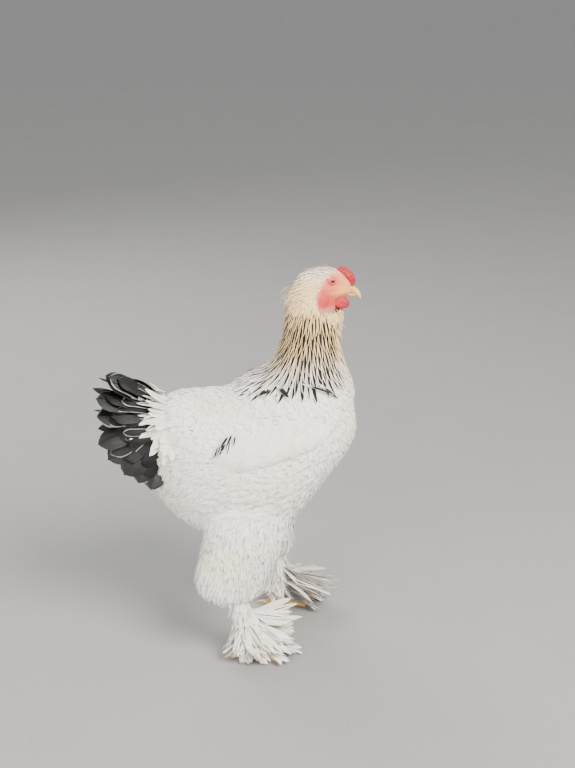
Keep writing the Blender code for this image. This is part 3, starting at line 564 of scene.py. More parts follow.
def skin_depth(x, z):
    body = 0.0060
    neck = 0.0125 * np.clip((z - 0.42) / 0.03, 0, 1) * np.clip((0.585 - z) / 0.03, 0, 1)
    low = body * np.clip((0.50 - z) / 0.06, 0, 1)
    crown = 0.0010 * np.clip((z - 0.555) / 0.03, 0, 1) * np.clip((0.110 - x) / 0.02, 0, 1)
    return np.maximum(np.maximum(neck, low), crown)


def select_faces(piece, wanted):
    """Leaves the piece in edit mode with only the wanted faces selected."""
    alone(piece)
    bpy.ops.object.mode_set(mode="EDIT")
    bpy.ops.mesh.select_mode(type="FACE")
    bpy.ops.mesh.select_all(action="DESELECT")
    bpy.ops.object.mode_set(mode="OBJECT")
    chosen = [wanted(face.center) for face in piece.data.polygons]
    piece.data.polygons.foreach_set("select", chosen)
    bpy.ops.object.mode_set(mode="EDIT")
    return sum(chosen)


alone(coat)
bpy.ops.object.duplicate()
skin = bpy.context.object
skin.name = "skin"
head_faces = select_faces(skin, lambda centre: centre.z > 0.548 and centre.x > HIP + 0.070)
bpy.ops.mesh.subdivide(number_cuts=2, smoothness=1.0)
bpy.ops.object.mode_set(mode="OBJECT")
points, normals = read_points(skin.data)
ahead, aside, height = points[:, 0] - HIP, np.abs(points[:, 1]), points[:, 2]
push = -skin_depth(ahead, height)
for x, y, z, long, tall, out in FACE_SWELLINGS:
    away = ((ahead - x) / long) ** 2 + ((height - z) / tall) ** 2 + ((aside - y) / 0.014) ** 2
    push += out * np.exp(-away)
points += normals * push[:, None]
move_points(skin, points)
bpy.ops.object.shade_smooth()
print("skin:", len(skin.data.polygons), "faces, after dividing", head_faces, "faces of the head")

# %% [markdown]
# The shanks and toes are skin too. Each is grown from the ankle outwards, the toes with a slight
# swelling at each joint and a flat under them where they bear the hen's weight. They join the skin,
# so that one skin runs from the head to the toes, with the joint hidden high in the hock feathers.

# %% Shanks and toes
STANCE = 0.080
ANKLES = {"right": (-1, -0.029, -0.044), "left": (1, 0.050, 0.041)}
TOES = (("inner", -26.0, 0.046, 0.0066), ("middle", 4.0, 0.062, 0.0074), ("outer", 34.0, 0.050, 0.0066),
        ("hind", 172.0, 0.030, 0.0058))


def flat_heading(side, angle):
    turn = math.radians(angle)
    return Vector((math.cos(turn), side * math.sin(turn), 0.0))


def toe_form(side, foot_x, angle, length, radius):
    """A toe grown along the x axis, then turned about the ankle to its own heading."""
    rings = []
    for t in np.linspace(0, 1, 16):
        thick = radius * (1.0 - 0.30 * t) * (1.0 + 0.07 * math.cos(2 * math.pi * t * 2.6))
        low = 0.80 * thick
        rise = low + (0.013 - low) * max(0.0, 1 - t / 0.5) ** 2
        rings.append(((length * t, 0.0, rise), thick * 0.96, thick))
    toe = grow("toe form", rings, sides=16, upright=True)
    edit_all()
    bpy.ops.mesh.bisect(plane_co=(0, 0, 0.0002), plane_no=(0, 0, 1), use_fill=True, clear_inner=True)
    edit_done()
    set_down(toe, (HIP + foot_x, side * STANCE, 0.0), (0.0, 0.0, math.radians(side * angle)))
    return toe


leg_forms = []
for word, (side, foot_x, hock_x) in ANKLES.items():
    path = [(foot_x, 0.010), (foot_x, 0.020), ((foot_x * 3 + hock_x) / 4, 0.045), (hock_x, 0.130)]
    widths = (0.0110, 0.0125, 0.0102, 0.0112)
    shank_rings = [((HIP + x, side * STANCE, z), w, w) for (x, z), w in zip(path, widths)]
    leg_forms.append(grow("shank form", shank_rings, sides=20))
    bpy.ops.object.shade_smooth()
    leg_forms += [toe_form(side, foot_x, angle, length, radius) for _, angle, length, radius in TOES]
join_into(skin, leg_forms)
print("skin with legs:", len(skin.data.polygons), "faces")

# %% [markdown]
# A hen's lids are two soft folds that leave an almond-shaped slit, and this hen squints a little.
# They start as a sphere just larger than the eye. Its front and back are cut away, the front rim is
# pressed into the almond, and a wall thickness turns the shell into folds with a rounded edge.

# %% Lids
EYE_PLACE = (0.1135, 0.0188, 0.6055)
EYE_SIZE = 0.0067
LID_SIZE = 0.0078


def eye_turn(side):
    return Vector((0.10, side, 0.16)).to_track_quat("Z", "Y").to_euler()


def eye_spot(side):
    return (HIP + EYE_PLACE[0], side * EYE_PLACE[1], EYE_PLACE[2])


def make_lids(side):
    bpy.ops.object.select_all(action="DESELECT")
    bpy.ops.mesh.primitive_uv_sphere_add(segments=40, ring_count=30, radius=LID_SIZE)
    lids = bpy.context.object
    lids.name = "lids"
    cut_front, cut_back = LID_SIZE * math.cos(math.radians(36)), LID_SIZE * math.cos(math.radians(104))
    edit_all()
    bpy.ops.mesh.bisect(plane_co=(0, 0, cut_front), plane_no=(0, 0, 1), clear_outer=True)
    bpy.ops.mesh.select_all(action="SELECT")
    bpy.ops.mesh.bisect(plane_co=(0, 0, cut_back), plane_no=(0, 0, 1), clear_inner=True)
    edit_done()
    # On a sphere turned this way, local x runs up and down the face and local y along it.
    for vertex in lids.data.vertices:
        near = max(0.0, (vertex.co.z - LID_SIZE * 0.15) / (cut_front - LID_SIZE * 0.15))
        rise = vertex.co.y
        vertex.co.y = rise * (1.0 - (0.60 if rise > 0 else 0.42) * near**2)
        flat = math.hypot(vertex.co.x, vertex.co.y)
        vertex.co.z = math.copysign(math.sqrt(max(0.0, LID_SIZE**2 - flat**2)), vertex.co.z)
    use_modifier(lids, "SOLIDIFY", thickness=0.0007, offset=-1.0)
    use_modifier(lids, "SUBSURF", levels=1, render_levels=1)
    set_down(lids, eye_spot(side), eye_turn(side))
    return lids


join_into(skin, [make_lids(1), make_lids(-1)])
print("skin with lids:", len(skin.data.polygons), "faces")

# %% Skin colours
def painted(mesh, name, values):
    """Stores a colour or a number on every point of a mesh."""
    values = np.asarray(values, np.float32)
    if values.ndim == 2:
        layer = mesh.attributes.new(name, "FLOAT_COLOR", "POINT")
        filled = np.ones((len(values), 4), np.float32)
        filled[:, :3] = values
        layer.data.foreach_set("color", filled.ravel())
    else:
        layer = mesh.attributes.new(name, "FLOAT", "POINT")
        layer.data.foreach_set("value", values)


def soft_spot(points, centre, sizes):
    away = sum(((points[:, i] - centre[i]) / sizes[i]) ** 2 for i in range(3))
    return np.exp(-away)[:, None]


points, _ = read_points(skin.data)
local = np.stack([points[:, 0] - HIP, np.abs(points[:, 1]), points[:, 2]], axis=1)
tone = np.tile(np.array([[0.74, 0.64, 0.56]]), (len(local), 1))
for centre, sizes, colour, share in (
    ((0.120, 0.022, 0.590), (0.030, 0.030, 0.030), (0.80, 0.27, 0.12), 0.95),
    ((0.1155, 0.024, 0.603), (0.014, 0.02, 0.012), (0.66, 0.085, 0.05), 0.85),
    ((0.140, 0.010, 0.603), (0.012, 0.02, 0.012), (0.80, 0.30, 0.12), 0.6),
    ((0.132, 0.016, 0.590), (0.012, 0.02, 0.007), (0.86, 0.45, 0.10), 0.8),
    ((0.122, 0.020, 0.572), (0.018, 0.02, 0.012), (0.66, 0.06, 0.05), 0.7),
    ((0.100, 0.024, 0.577), (0.014, 0.02, 0.016), (0.56, 0.035, 0.035), 0.95),
):
    spot = np.clip(soft_spot(local, centre, sizes) * 1.5, 0, 1) * share
    tone = tone * (1 - spot) + np.array([colour]) * spot
legs = (local[:, 2:3] < 0.100).astype(float)
tone = tone * (1 - legs) + np.array([[0.72, 0.50, 0.19]]) * legs
under_tail = np.clip((-0.150 - local[:, 0:1]) / 0.02, 0, 1)
tone = tone * (1 - under_tail) + 0.04 * under_tail
painted(skin.data, "tint", tone)
middle, half, flank = neck_at(local[:, 2])
turn = np.arctan2(points[:, 1] / flank, (local[:, 0] - middle) / half)
painted(skin.data, "lane", turn / (2 * math.pi) * HACKLE_LANES)
on_neck = np.clip((local[:, 2] - 0.440) / 0.01, 0, 1) * np.clip((0.562 - local[:, 2]) / 0.02, 0, 1)
painted(skin.data, "stripes", on_neck * np.clip((0.55 - np.cos(turn)) / 0.2, 0, 1))
alone(skin)
edit_all()
bpy.ops.uv.smart_project(angle_limit=math.radians(70), island_margin=0.002)
edit_done()
skin.data.uv_layers[0].name = "OFBake"
print("skin painted, map", skin.data.uv_layers[0].name)


# %% Skin materials
STRIPE = (0.02, 0.018, 0.02, 1.0)


def flesh(name, roughness, wrinkle, pore, colour=None, gloss=0.4):
    """Bare skin: a plain colour, or the painted one with its stripes, with blotches, wrinkles and pores."""
    made, tree, shader = new_finish(name)
    place = object_place(tree)
    if colour is None:
        aside = math_node(tree, "PINGPONG", attribute(tree, "lane"), 0.5)
        dark = math_node(tree, "MULTIPLY", ramp_node(tree, aside, 0.27, 0.33), attribute(tree, "stripes"))
        base = mix_node(tree, dark, attribute(tree, "tint", "Color"), STRIPE)
    else:
        base = (*colour, 1.0)
    cloud = noise_node(tree, place, 180.0)
    cells = tree.nodes.new("ShaderNodeTexVoronoi")
    cells.inputs["Scale"].default_value = pore
    tree.links.new(place, cells.inputs["Vector"])
    folds = noise_node(tree, place, wrinkle, detail=4.0)
    height = math_node(tree, "MULTIPLY_ADD", cells.outputs["Distance"], 0.8, folds)
    add_bump(tree, shader, height, 0.55, 0.0006)
    for socket, value in (
        ("Base Color", shaded(tree, base, cloud, (0.88, 0.88 * 0.93, 0.88 * 0.93, 1.0), grey(1.08))),
        ("Roughness", math_node(tree, "MULTIPLY_ADD", cloud, 0.25, roughness - 0.12)),
        ("Specular IOR Level", gloss),
    ):
        feed(tree, shader.inputs[socket], value)
    return made


SKIN_FINISH = flesh("face and leg skin", 0.60, 420.0, 900.0)
RED_FINISH = flesh("red comb skin", 0.50, 500.0, 1100.0, colour=(0.42, 0.008, 0.020), gloss=0.45)
skin.data.materials.clear()
skin.data.materials.append(SKIN_FINISH)
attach(skin, "root")
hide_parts("torso", "neck", "head", "thigh_left", "thigh_right", "foot_left", "foot_right")
print("skin finished with", SKIN_FINISH.name)

# %% [markdown]
# The eye is a ball with a wet black pupil in a reddish bay iris and a dark rim. The rings are
# painted by the angle from the line of sight, so they stay sharp and need no picture.

# %% Eyes
def plain_finish(name, roughness, coat_weight=0.0, rough_noise=0.0, bump=0.0, scale=400.0):
    """A smooth finish whose colour is painted on the points, with a little grain."""
    made, tree, shader = new_finish(name)
    grain = noise_node(tree, object_place(tree), scale, detail=4.0)
    add_bump(tree, shader, grain, bump, 0.0004)
    tint = attribute(tree, "tint", "Color")
    for socket, value in (
        ("Base Color", shaded(tree, tint, grain, (0.90, 0.89, 0.87, 1.0), grey(1.06))),
        ("Roughness", math_node(tree, "MULTIPLY_ADD", grain, rough_noise, roughness)),
        ("Coat Weight", coat_weight), ("Coat Roughness", 0.03),
    ):
        feed(tree, shader.inputs[socket], value)
    return made


EYE_FINISH = plain_finish("wet eye", 0.12, coat_weight=1.0)
HORN_FINISH = plain_finish("horn", 0.32, coat_weight=0.15, rough_noise=0.18, bump=0.25, scale=600.0)


def finish_piece(piece, finish, slot, *replaced):
    """Gives a finished piece its material and its body, and hides the solids it stands for; the slot is not
    used.
    """
    piece.data.materials.clear()
    piece.data.materials.append(finish)
    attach(piece, "root")
    if replaced:
        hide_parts(*replaced)


def make_eye(side, word):
    bpy.ops.object.select_all(action="DESELECT")
    bpy.ops.mesh.primitive_uv_sphere_add(segments=48, ring_count=64, radius=EYE_SIZE)
    eye = bpy.context.object
    eye.name = "eyeball_" + word
    points, _ = read_points(eye.data)
    angle = np.degrees(np.arccos(np.clip(points[:, 2] / EYE_SIZE, -1, 1)))
    rays = 0.5 + 0.5 * np.sin(np.arctan2(points[:, 1], points[:, 0]) * 24)
    iris = np.array([0.30, 0.085, 0.022]) * (0.75 + 0.45 * rays[:, None])
    tone = np.where(angle[:, None] < 20, 0.004, iris)
    tone = np.where(angle[:, None] > 43, 0.03, tone)
    painted(eye.data, "tint", tone)
    set_down(eye, eye_spot(side), eye_turn(side))
    finish_piece(eye, EYE_FINISH, "eye", "eye_" + word)
    return eye


eyes = [make_eye(side, word) for word, side in SIDES]
print("eyes:", [eye.name for eye in eyes])

# %% [markdown]
# The bill and the claws are horn that tapers along a curve, so each is a curve with a round section
# whose thickness shrinks from point to point, made a mesh, and for the bill spread a little wider across.
# The upper bill is browner along its ridge, paler at its hooked tip, and has a nostril pit on each side.

# %% Bill and claws
def tapered(name, path, thick, flatten, round_steps=6, along_steps=10):
    """A closed horn along a smooth curve; thick is its half height at each point of the path."""
    curve = bpy.data.curves.new(name, "CURVE")
    curve.dimensions = "3D"
    curve.bevel_depth = 1.0
    curve.bevel_resolution = round_steps
    curve.resolution_u = along_steps
    curve.use_fill_caps = True
    line = curve.splines.new("BEZIER")
    line.bezier_points.add(len(path) - 1)
    for point, place, radius in zip(line.bezier_points, path, thick):
        point.co = place
        point.radius = radius
        point.handle_left_type = point.handle_right_type = "AUTO"
    horn = bpy.data.objects.new(name, curve)
    bpy.context.scene.collection.objects.link(horn)
    alone(horn)
    bpy.ops.object.convert(target="MESH")
    horn = bpy.context.object
    edit_all()
    bpy.ops.mesh.remove_doubles(threshold=0.00002)
    bpy.ops.mesh.normals_make_consistent(inside=False)
    edit_done()
    if flatten:
        middle, direction, share = flatten
        middle, direction = Vector(middle), Vector(direction).normalized()
        for vertex in horn.data.vertices:
            vertex.co += direction * ((vertex.co - middle).dot(direction) * (share - 1.0))
    bpy.ops.object.shade_smooth()
    return horn


UPPER_BILL = ((0.1370, 0.5872, 0.0072), (0.1450, 0.5870, 0.0069), (0.1510, 0.5853, 0.0062),
              (0.1570, 0.5816, 0.0049), (0.1612, 0.5770, 0.0033), (0.1644, 0.5708, 0.0010))
LOWER_BILL = ((0.1350, 0.5780, 0.0041), (0.1430, 0.5783, 0.0038), (0.1500, 0.5777, 0.0032),
              (0.1568, 0.5757, 0.0012))
NOSTRIL = (0.1480, 0.5890)


def make_bill(name, rows, wide, node):
    path = [(HIP + x, 0, z) for x, z, _ in rows]
    bill = tapered(name, path, [half for _, _, half in rows], (path[0], (0, 1, 0), wide))
    points, normals = read_points(bill.data)
    ahead, height = points[:, 0] - HIP, points[:, 2]
    pit = np.exp(-(((ahead - NOSTRIL[0]) / 0.0022) ** 2 + ((height - NOSTRIL[1]) / 0.0011) ** 2))
    pit = pit * (np.abs(points[:, 1]) > 0.002) * (name == "upper_bill")
    points -= normals * (0.0012 * pit)[:, None]
    move_points(bill, points)
    tip = np.clip((ahead - 0.150) / 0.013, 0, 1)[:, None]
    ridge = np.clip(normals[:, 2:3] - 0.72, 0, 1) * 3.4
    tone = np.array([[0.80, 0.38, 0.02]]) * (1 - tip) + np.array([[0.86, 0.64, 0.26]]) * tip
    tone = tone * (1 - ridge * 0.7) + np.array([[0.20, 0.13, 0.08]]) * ridge * 0.7
    # Painted shade: the shallow nostril pit is darkened to stand in for the shadow inside the nostril's
    # opening.
    tone = tone * (1 - pit[:, None] * 0.9)
    painted(bill.data, "tint", tone)
    finish_piece(bill, HORN_FINISH, "horn", node)


def make_claw(side, word, foot_x, toe):
    name, angle, length, radius = toe
    heading = flat_heading(side, angle)
    start = Vector((HIP + foot_x, side * STANCE, 0.0)) + heading * (length - 0.004)
    path, thick = [], []
    for t in (0.0, 0.35, 0.7, 1.0):
        height = radius * 0.66 + 0.0020 * math.sin(math.pi * t) - (radius * 0.66 - 0.0012) * t**2
        path.append(start + heading * (0.017 * t) + Vector((0, 0, height)))
        thick.append(radius * 0.48 * (1 - t) ** 0.8 + 0.0004)
    claw = tapered(f"toenail_{name}_{word}", path, thick, None, round_steps=3, along_steps=5)
    points, _ = read_points(claw.data)
    far = np.clip(np.linalg.norm(points[:, :2] - np.array(start.xy), axis=1) / 0.017, 0, 1)[:, None]
    painted(claw.data, "tint", np.array([[0.72, 0.58, 0.34]]) * (1 - far * 0.35))
    finish_piece(claw, HORN_FINISH, "horn", f"claw_{name}_{word}")
    return claw


make_bill("upper_bill", UPPER_BILL, 1.08, "bill_upper")
make_bill("lower_bill", LOWER_BILL, 1.6, "bill_lower")
claws = [make_claw(side, word, foot_x, toe) for word, (side, foot_x, _) in ANKLES.items() for toe in TOES]
print("bills and", len(claws), "claws")

# %% [markdown]
# A pea comb is three low ridges of little knobs that run from the bill to the crown, the middle one
# highest. One knob is a sphere; it is copied along each ridge with its size swelling and fading,
# and the knobs are fused by a fine remesh and smoothed into one fleshy piece. Wattles and ear lobes
# are flattened spheres with a few folds.

# %% Comb, wattles and ear lobes
COMB_PATH = ((0.1520, 0.5955), (0.1520, 0.6115), (0.1290, 0.6218))


def comb_place(t):
    (x0, z0), (x1, z1), (x2, z2) = COMB_PATH
    return (
        HIP + x0 * (1 - t) ** 2 + x1 * 2 * t * (1 - t) + x2 * t**2,
        z0 * (1 - t) ** 2 + z1 * 2 * t * (1 - t) + z2 * t**2,
    )


def knob(x, y, z, size, tall):
    bpy.ops.mesh.primitive_uv_sphere_add(segments=16, ring_count=12, radius=size, location=(x, y, z))
    made = bpy.context.object
    made.scale = (1.0, 0.85, tall)
    return made


knobs = []
draw = np.random.default_rng(5)
for aside, high, count in ((0.0, 1.0, 8), (0.0052, 0.72, 7), (-0.0052, 0.72, 7)):
    for i in range(count):
        t = (i + 0.5) / count
        x, z = comb_place(0.03 + 0.95 * t)
        bulk = math.sin(math.pi * (0.16 + 0.72 * t)) ** 0.6 * draw.uniform(0.9, 1.1)
        knobs.append(knob(x - 0.0024, aside * bulk, z - 0.0018, 0.0058 * bulk * (0.72 + 0.28 * high), 1.0))
        knobs.append(knob(x + 0.0014, aside * bulk, z + 0.0014 * high, 0.0029 * bulk, 1.25 * high + 0.3))
comb = knobs[0]
join_into(comb, knobs)
comb.name = "pea_comb"
bpy.ops.object.transform_apply(location=True, rotation=True, scale=True)
comb.data.remesh_voxel_size = 0.0006
bpy.ops.object.voxel_remesh()
use_modifier(comb, "SMOOTH", factor=0.5, iterations=2)
bpy.ops.object.shade_smooth()
finish_piece(comb, RED_FINISH, "red_skin", "comb")
print("comb:", len(knobs), "knobs,", len(comb.data.polygons), "faces")


def lobe(name, place, sizes, tip, lean, folds, node):
    """A hanging lobe of skin with shallow folds across it."""
    bpy.ops.object.select_all(action="DESELECT")
    bpy.ops.mesh.primitive_uv_sphere_add(segments=40, ring_count=28, radius=1.0)
    made = bpy.context.object
    made.name = name
    for vertex in made.data.vertices:
        x, y, z = vertex.co
        swell = 1.0 + 0.10 * math.sin(folds * z + 2.0 * x) * (1 - z * z)
        vertex.co = (x * sizes[0] * (1 - 0.15 * z), y * sizes[1] * swell, z * sizes[2])
    set_down(made, (HIP + place[0], place[1], place[2]), (math.radians(lean), math.radians(tip), 0))
    finish_piece(made, RED_FINISH, "red_skin", node)


for word, side in SIDES:
    lobe("hanging_wattle_" + word, (0.1285, side * 0.0125, 0.5700), (0.0160, 0.0042, 0.0100), 14, side * 16,
         6.0, "wattle_" + word)
    lobe("lobe_" + word, (0.1000, side * 0.0238, 0.5785), (0.0068, 0.0034, 0.0104), -24, 0, 8.0,
         "earlobe_" + word)
print("wattles and ear lobes hang in place")

# %% [markdown]
# A feather is a thin curved blade: a grid of points across and along it, with an underside close
# below that shares the same outline, so each one is a closed solid. There are thousands, so they
# are computed together as arrays and stored as a few joined meshes. Every blade follows stations
# that walk over the coat's outline, sunk at the root and raised at the tip, and so each one lies on
# those behind it. Hair particles would be lighter, but they can't be kept as solid feathers.

# %% Where feathers root and how they lie
def unit(vectors):
    return vectors / np.maximum(np.linalg.norm(vectors, axis=-1, keepdims=True), 1e-9)


def smooth_step(values, low, high):
    t = np.clip((values - low) / (high - low), 0, 1)
    return t * t * (3 - 2 * t)


def from_hip(places):
    """Distance ahead of the hip, distance from the middle, height."""
    return places[:, 0] - HIP, np.abs(places[:, 1]), places[:, 2]


coat.data.calc_loop_triangles()
coat_points, coat_normals = read_points(coat.data)
coat_faces = np.array([tri.vertices[:] for tri in coat.data.loop_triangles])
coat_tree = BVHTree.FromPolygons(coat_points.tolist(), coat_faces.tolist())
face_normals = unit(coat_normals[coat_faces].mean(axis=1))


def settle(places):
    """The nearest places on the coat's outline, with its normals there."""
    hits = [coat_tree.find_nearest(place) for place in places.tolist()]
    return np.array([hit[0] for hit in hits]), face_normals[[hit[2] for hit in hits]]


def scatter(spacing, keep, seed):
    """Places about one spacing apart, all over the part of the coat that keep(places) allows."""
    draw = np.random.default_rng(seed)
    corners = coat_points[coat_faces].astype(float)
    areas = np.linalg.norm(np.cross(corners[:, 1] - corners[:, 0], corners[:, 2] - corners[:, 0]), axis=1) / 2
    allowed = keep(corners.mean(axis=1))
    areas = areas * allowed
    count = int(areas.sum() / spacing**2 * 5)
    pick = draw.choice(len(areas), count, p=areas / areas.sum())
    first, second = draw.random((2, count, 1))
    fold = first + second > 1
    first, second = np.where(fold, 1 - first, first), np.where(fold, 1 - second, second)
    start, one, two = (corners[pick, i] for i in range(3))
    places = start + first * (one - start) + second * (two - start)
    cells = np.floor(places / spacing).astype(int).tolist()
    around = [(i, j, k) for i in (-1, 0, 1) for j in (-1, 0, 1) for k in (-1, 0, 1)]
    taken, chosen = {}, []
    for index, ((cx, cy, cz), place) in enumerate(zip(cells, places.tolist())):
        near = False
        for i, j, k in around:
            other = taken.get((cx + i, cy + j, cz + k))
            if other and math.dist(other, place) < spacing:
                near = True
                break
        if not near:
            taken[(cx, cy, cz)] = place
            chosen.append(index)
    return places[chosen]


def lie(places):
    """The way feathers point at each place: back over the body, down the neck, breast and legs."""
    ahead, _, height = from_hip(places)
    side = np.sign(places[:, 1])
    middle, _, _ = neck_at(height)
    way = np.tile(np.array([[-1.0, 0.0, -0.34]]), (len(places), 1))

    def turn_to(share, wish):
        nonlocal way
        way = way * (1 - share[:, None]) + np.asarray(wish) * share[:, None]

    turn_to(smooth_step(ahead, 0.02, 0.15) * (height < 0.45), [[-0.40, 0.0, -1.0]])
    turn_to(smooth_step(-ahead, 0.09, 0.15) * smooth_step(-height, -0.36, -0.31), [[-0.55, 0.0, -0.9]])
    turn_to(smooth_step(-height, -0.285, -0.225), [[-0.25, 0.0, -1.0]])
    away = unit(np.stack([ahead - middle, places[:, 1], np.zeros(len(places))], axis=1) + 1e-6)
    down = away * 0.55 + np.array([[0.0, 0.0, -1.0]])
    turn_to(smooth_step(height, 0.425, 0.447), down)
    over_head = np.stack([-np.ones(len(places)), side * 0.05, np.full(len(places), -0.55)], axis=1)
    turn_to(smooth_step(height, 0.560, 0.585) * (ahead > 0.055), over_head)
    return unit(way)


def lying(places, lengths, rows, lifts, draw, wander=7.0, lean=0.0):
    """Stations of feathers that lie on the coat: places, sides and normals, each (feathers, rows + 1, 3)."""
    at, normal = settle(places)
    way = lie(at)
    way = unit(way - normal * (way * normal).sum(1, keepdims=True))
    turn = np.radians(draw.normal(0, wander, len(at)) + lean)[:, None]
    way = way * np.cos(turn) + np.cross(normal, way) * np.sin(turn)
    step = (np.asarray(lengths) / rows)[:, None]
    spots, sides, ups = [], [], []
    for row in range(rows + 1):
        low, high = lifts
        lift = low + (high - low) * (row / rows) ** 0.8
        spots.append(at + normal * np.reshape(lift, (-1, 1)))
        sides.append(np.cross(normal, way))
        ups.append(normal)
        at, normal = settle(at + way * step)
        wish = lie(at)
        if np.ndim(lean) == 0:
            way = unit(way * 0.75 + wish * 0.25)
        way = unit(way - normal * (way * normal).sum(1, keepdims=True))
    return (np.stack(items, axis=1) for items in (spots, sides, ups))


def reaching(roots, ways, faces, lengths, droops, rows):
    """Stations of feathers that stand free and bend by their droop, in degrees, from root to tip."""
    way = unit(np.asarray(ways, float))
    up = np.asarray(faces, float)
    up = unit(up - way * (up * way).sum(1, keepdims=True))
    side = np.cross(up, way)
    at = np.asarray(roots, float)
    step = (np.asarray(lengths, float) / rows)[:, None]
    bend = np.radians(np.broadcast_to(np.asarray(droops, float), (len(at),)))[:, None]
    spots, ups = [], []
    for row in range(rows + 1):
        angle = bend * row / rows
        spots.append(at)
        ups.append(up * np.cos(angle) - way * np.sin(angle))
        at = at + (way * np.cos(angle) + up * np.sin(angle)) * step
    spots, ups = np.stack(spots, axis=1), np.stack(ups, axis=1)
    return spots, np.repeat(side[:, None], rows + 1, axis=1), ups


print("coat's outline ready:", len(coat_faces), "triangles")

# %% Laying feathers
skin.data.calc_loop_triangles()
skin_points, _ = read_points(skin.data)
skin_faces = np.array([tri.vertices[:] for tri in skin.data.loop_triangles])
skin_loops = np.array([tri.loops[:] for tri in skin.data.loop_triangles])
skin_uv = np.empty(len(skin.data.loops) * 2, np.float32)
skin.data.uv_layers["OFBake"].data.foreach_get("uv", skin_uv)
skin_uv = skin_uv.reshape(-1, 2)
skin_tree = BVHTree.FromPolygons(skin_points.tolist(), skin_faces.tolist())
PATCH = 0.003


def root_patch(places):
    """Where each root's patch lies on the skin's unwrapped map."""
    hits = [skin_tree.find_nearest(place) for place in places.tolist()]
    faces, spots = [hit[2] for hit in hits], np.array([hit[0] for hit in hits])
    one, two, three = (skin_points[skin_faces[faces, i]].astype(float) for i in range(3))
    whole = np.cross(two - one, three - one)
    size = np.maximum((whole * whole).sum(1), 1e-18)
    share_two = (np.cross(spots - one, three - one) * whole).sum(1) / size
    share_three = (np.cross(two - one, spots - one) * whole).sum(1) / size
    shares = np.clip(np.stack([1 - share_two - share_three, share_two, share_three], axis=1), 0, 1)
    uv = (skin_uv[skin_loops[faces]] * shares[:, :, None]).sum(1)
    return np.clip(uv, PATCH, 1 - PATCH)


def blade_faces(rows, columns):
    """The quads of one closed blade: the top grid, and an underside that shares its outline."""
    wide = columns + 1
    top = np.arange((rows + 1) * wide).reshape(rows + 1, wide)
    under = top.copy()
    under[1:-1, 1:-1] = top.size + np.arange((rows - 1) * (columns - 1)).reshape(rows - 1, columns - 1)
    quads = []
    for r in range(rows):
        for c in range(columns):
            quads.append((top[r, c], top[r + 1, c], top[r + 1, c + 1], top[r, c + 1]))
            quads.append((under[r, c], under[r, c + 1], under[r + 1, c + 1], under[r + 1, c]))
    return np.array(quads), top.size + (rows - 1) * (columns - 1)


BLADES = {  # root's share of the width, widest place, start of the tip, how pointed, hollow, ragged
    "round": (0.42, 0.40, 0.55, 0.50, 0.22, 0.08),
    "fluff": (0.40, 0.40, 0.45, 0.60, 0.20, 0.40),
    "lance": (0.45, 0.45, 0.55, 0.62, 0.22, 0.05),
    "broad": (0.22, 0.55, 0.64, 0.50, 0.14, 0.02),
    "quill": (0.25, 0.60, 0.80, 0.50, 0.12, 0.02),
    "plume": (0.30, 0.45, 0.55, 0.60, 0.24, 0.30),
    "wisp": (0.50, 0.30, 0.30, 0.95, 0.20, 0.20),
    "tiny": (0.45, 0.30, 0.40, 0.60, 0.25, 0.15),
}


def outline(blade, along):
    """How wide a blade is at each place along it, as a share of its full width."""
    root, widest, tip_start, point, _, _ = BLADES[blade]
    body = root + (1 - root) * np.sin(np.clip(along / widest, 0, 1) * math.pi / 2)
    end = np.clip((along - tip_start) / (1 - tip_start), 0, 1)
    return np.maximum(body * (1 - end**2) ** point, 0.10)


def read_between(stations, along):
    """The stations read at other places along each feather, closer together near its tip."""
    place = along * (stations.shape[1] - 1)
    low = np.minimum(place.astype(int), stations.shape[1] - 2)
    share = (place - low)[None, :, None]
    return stations[:, low] * (1 - share) + stations[:, low + 1] * share


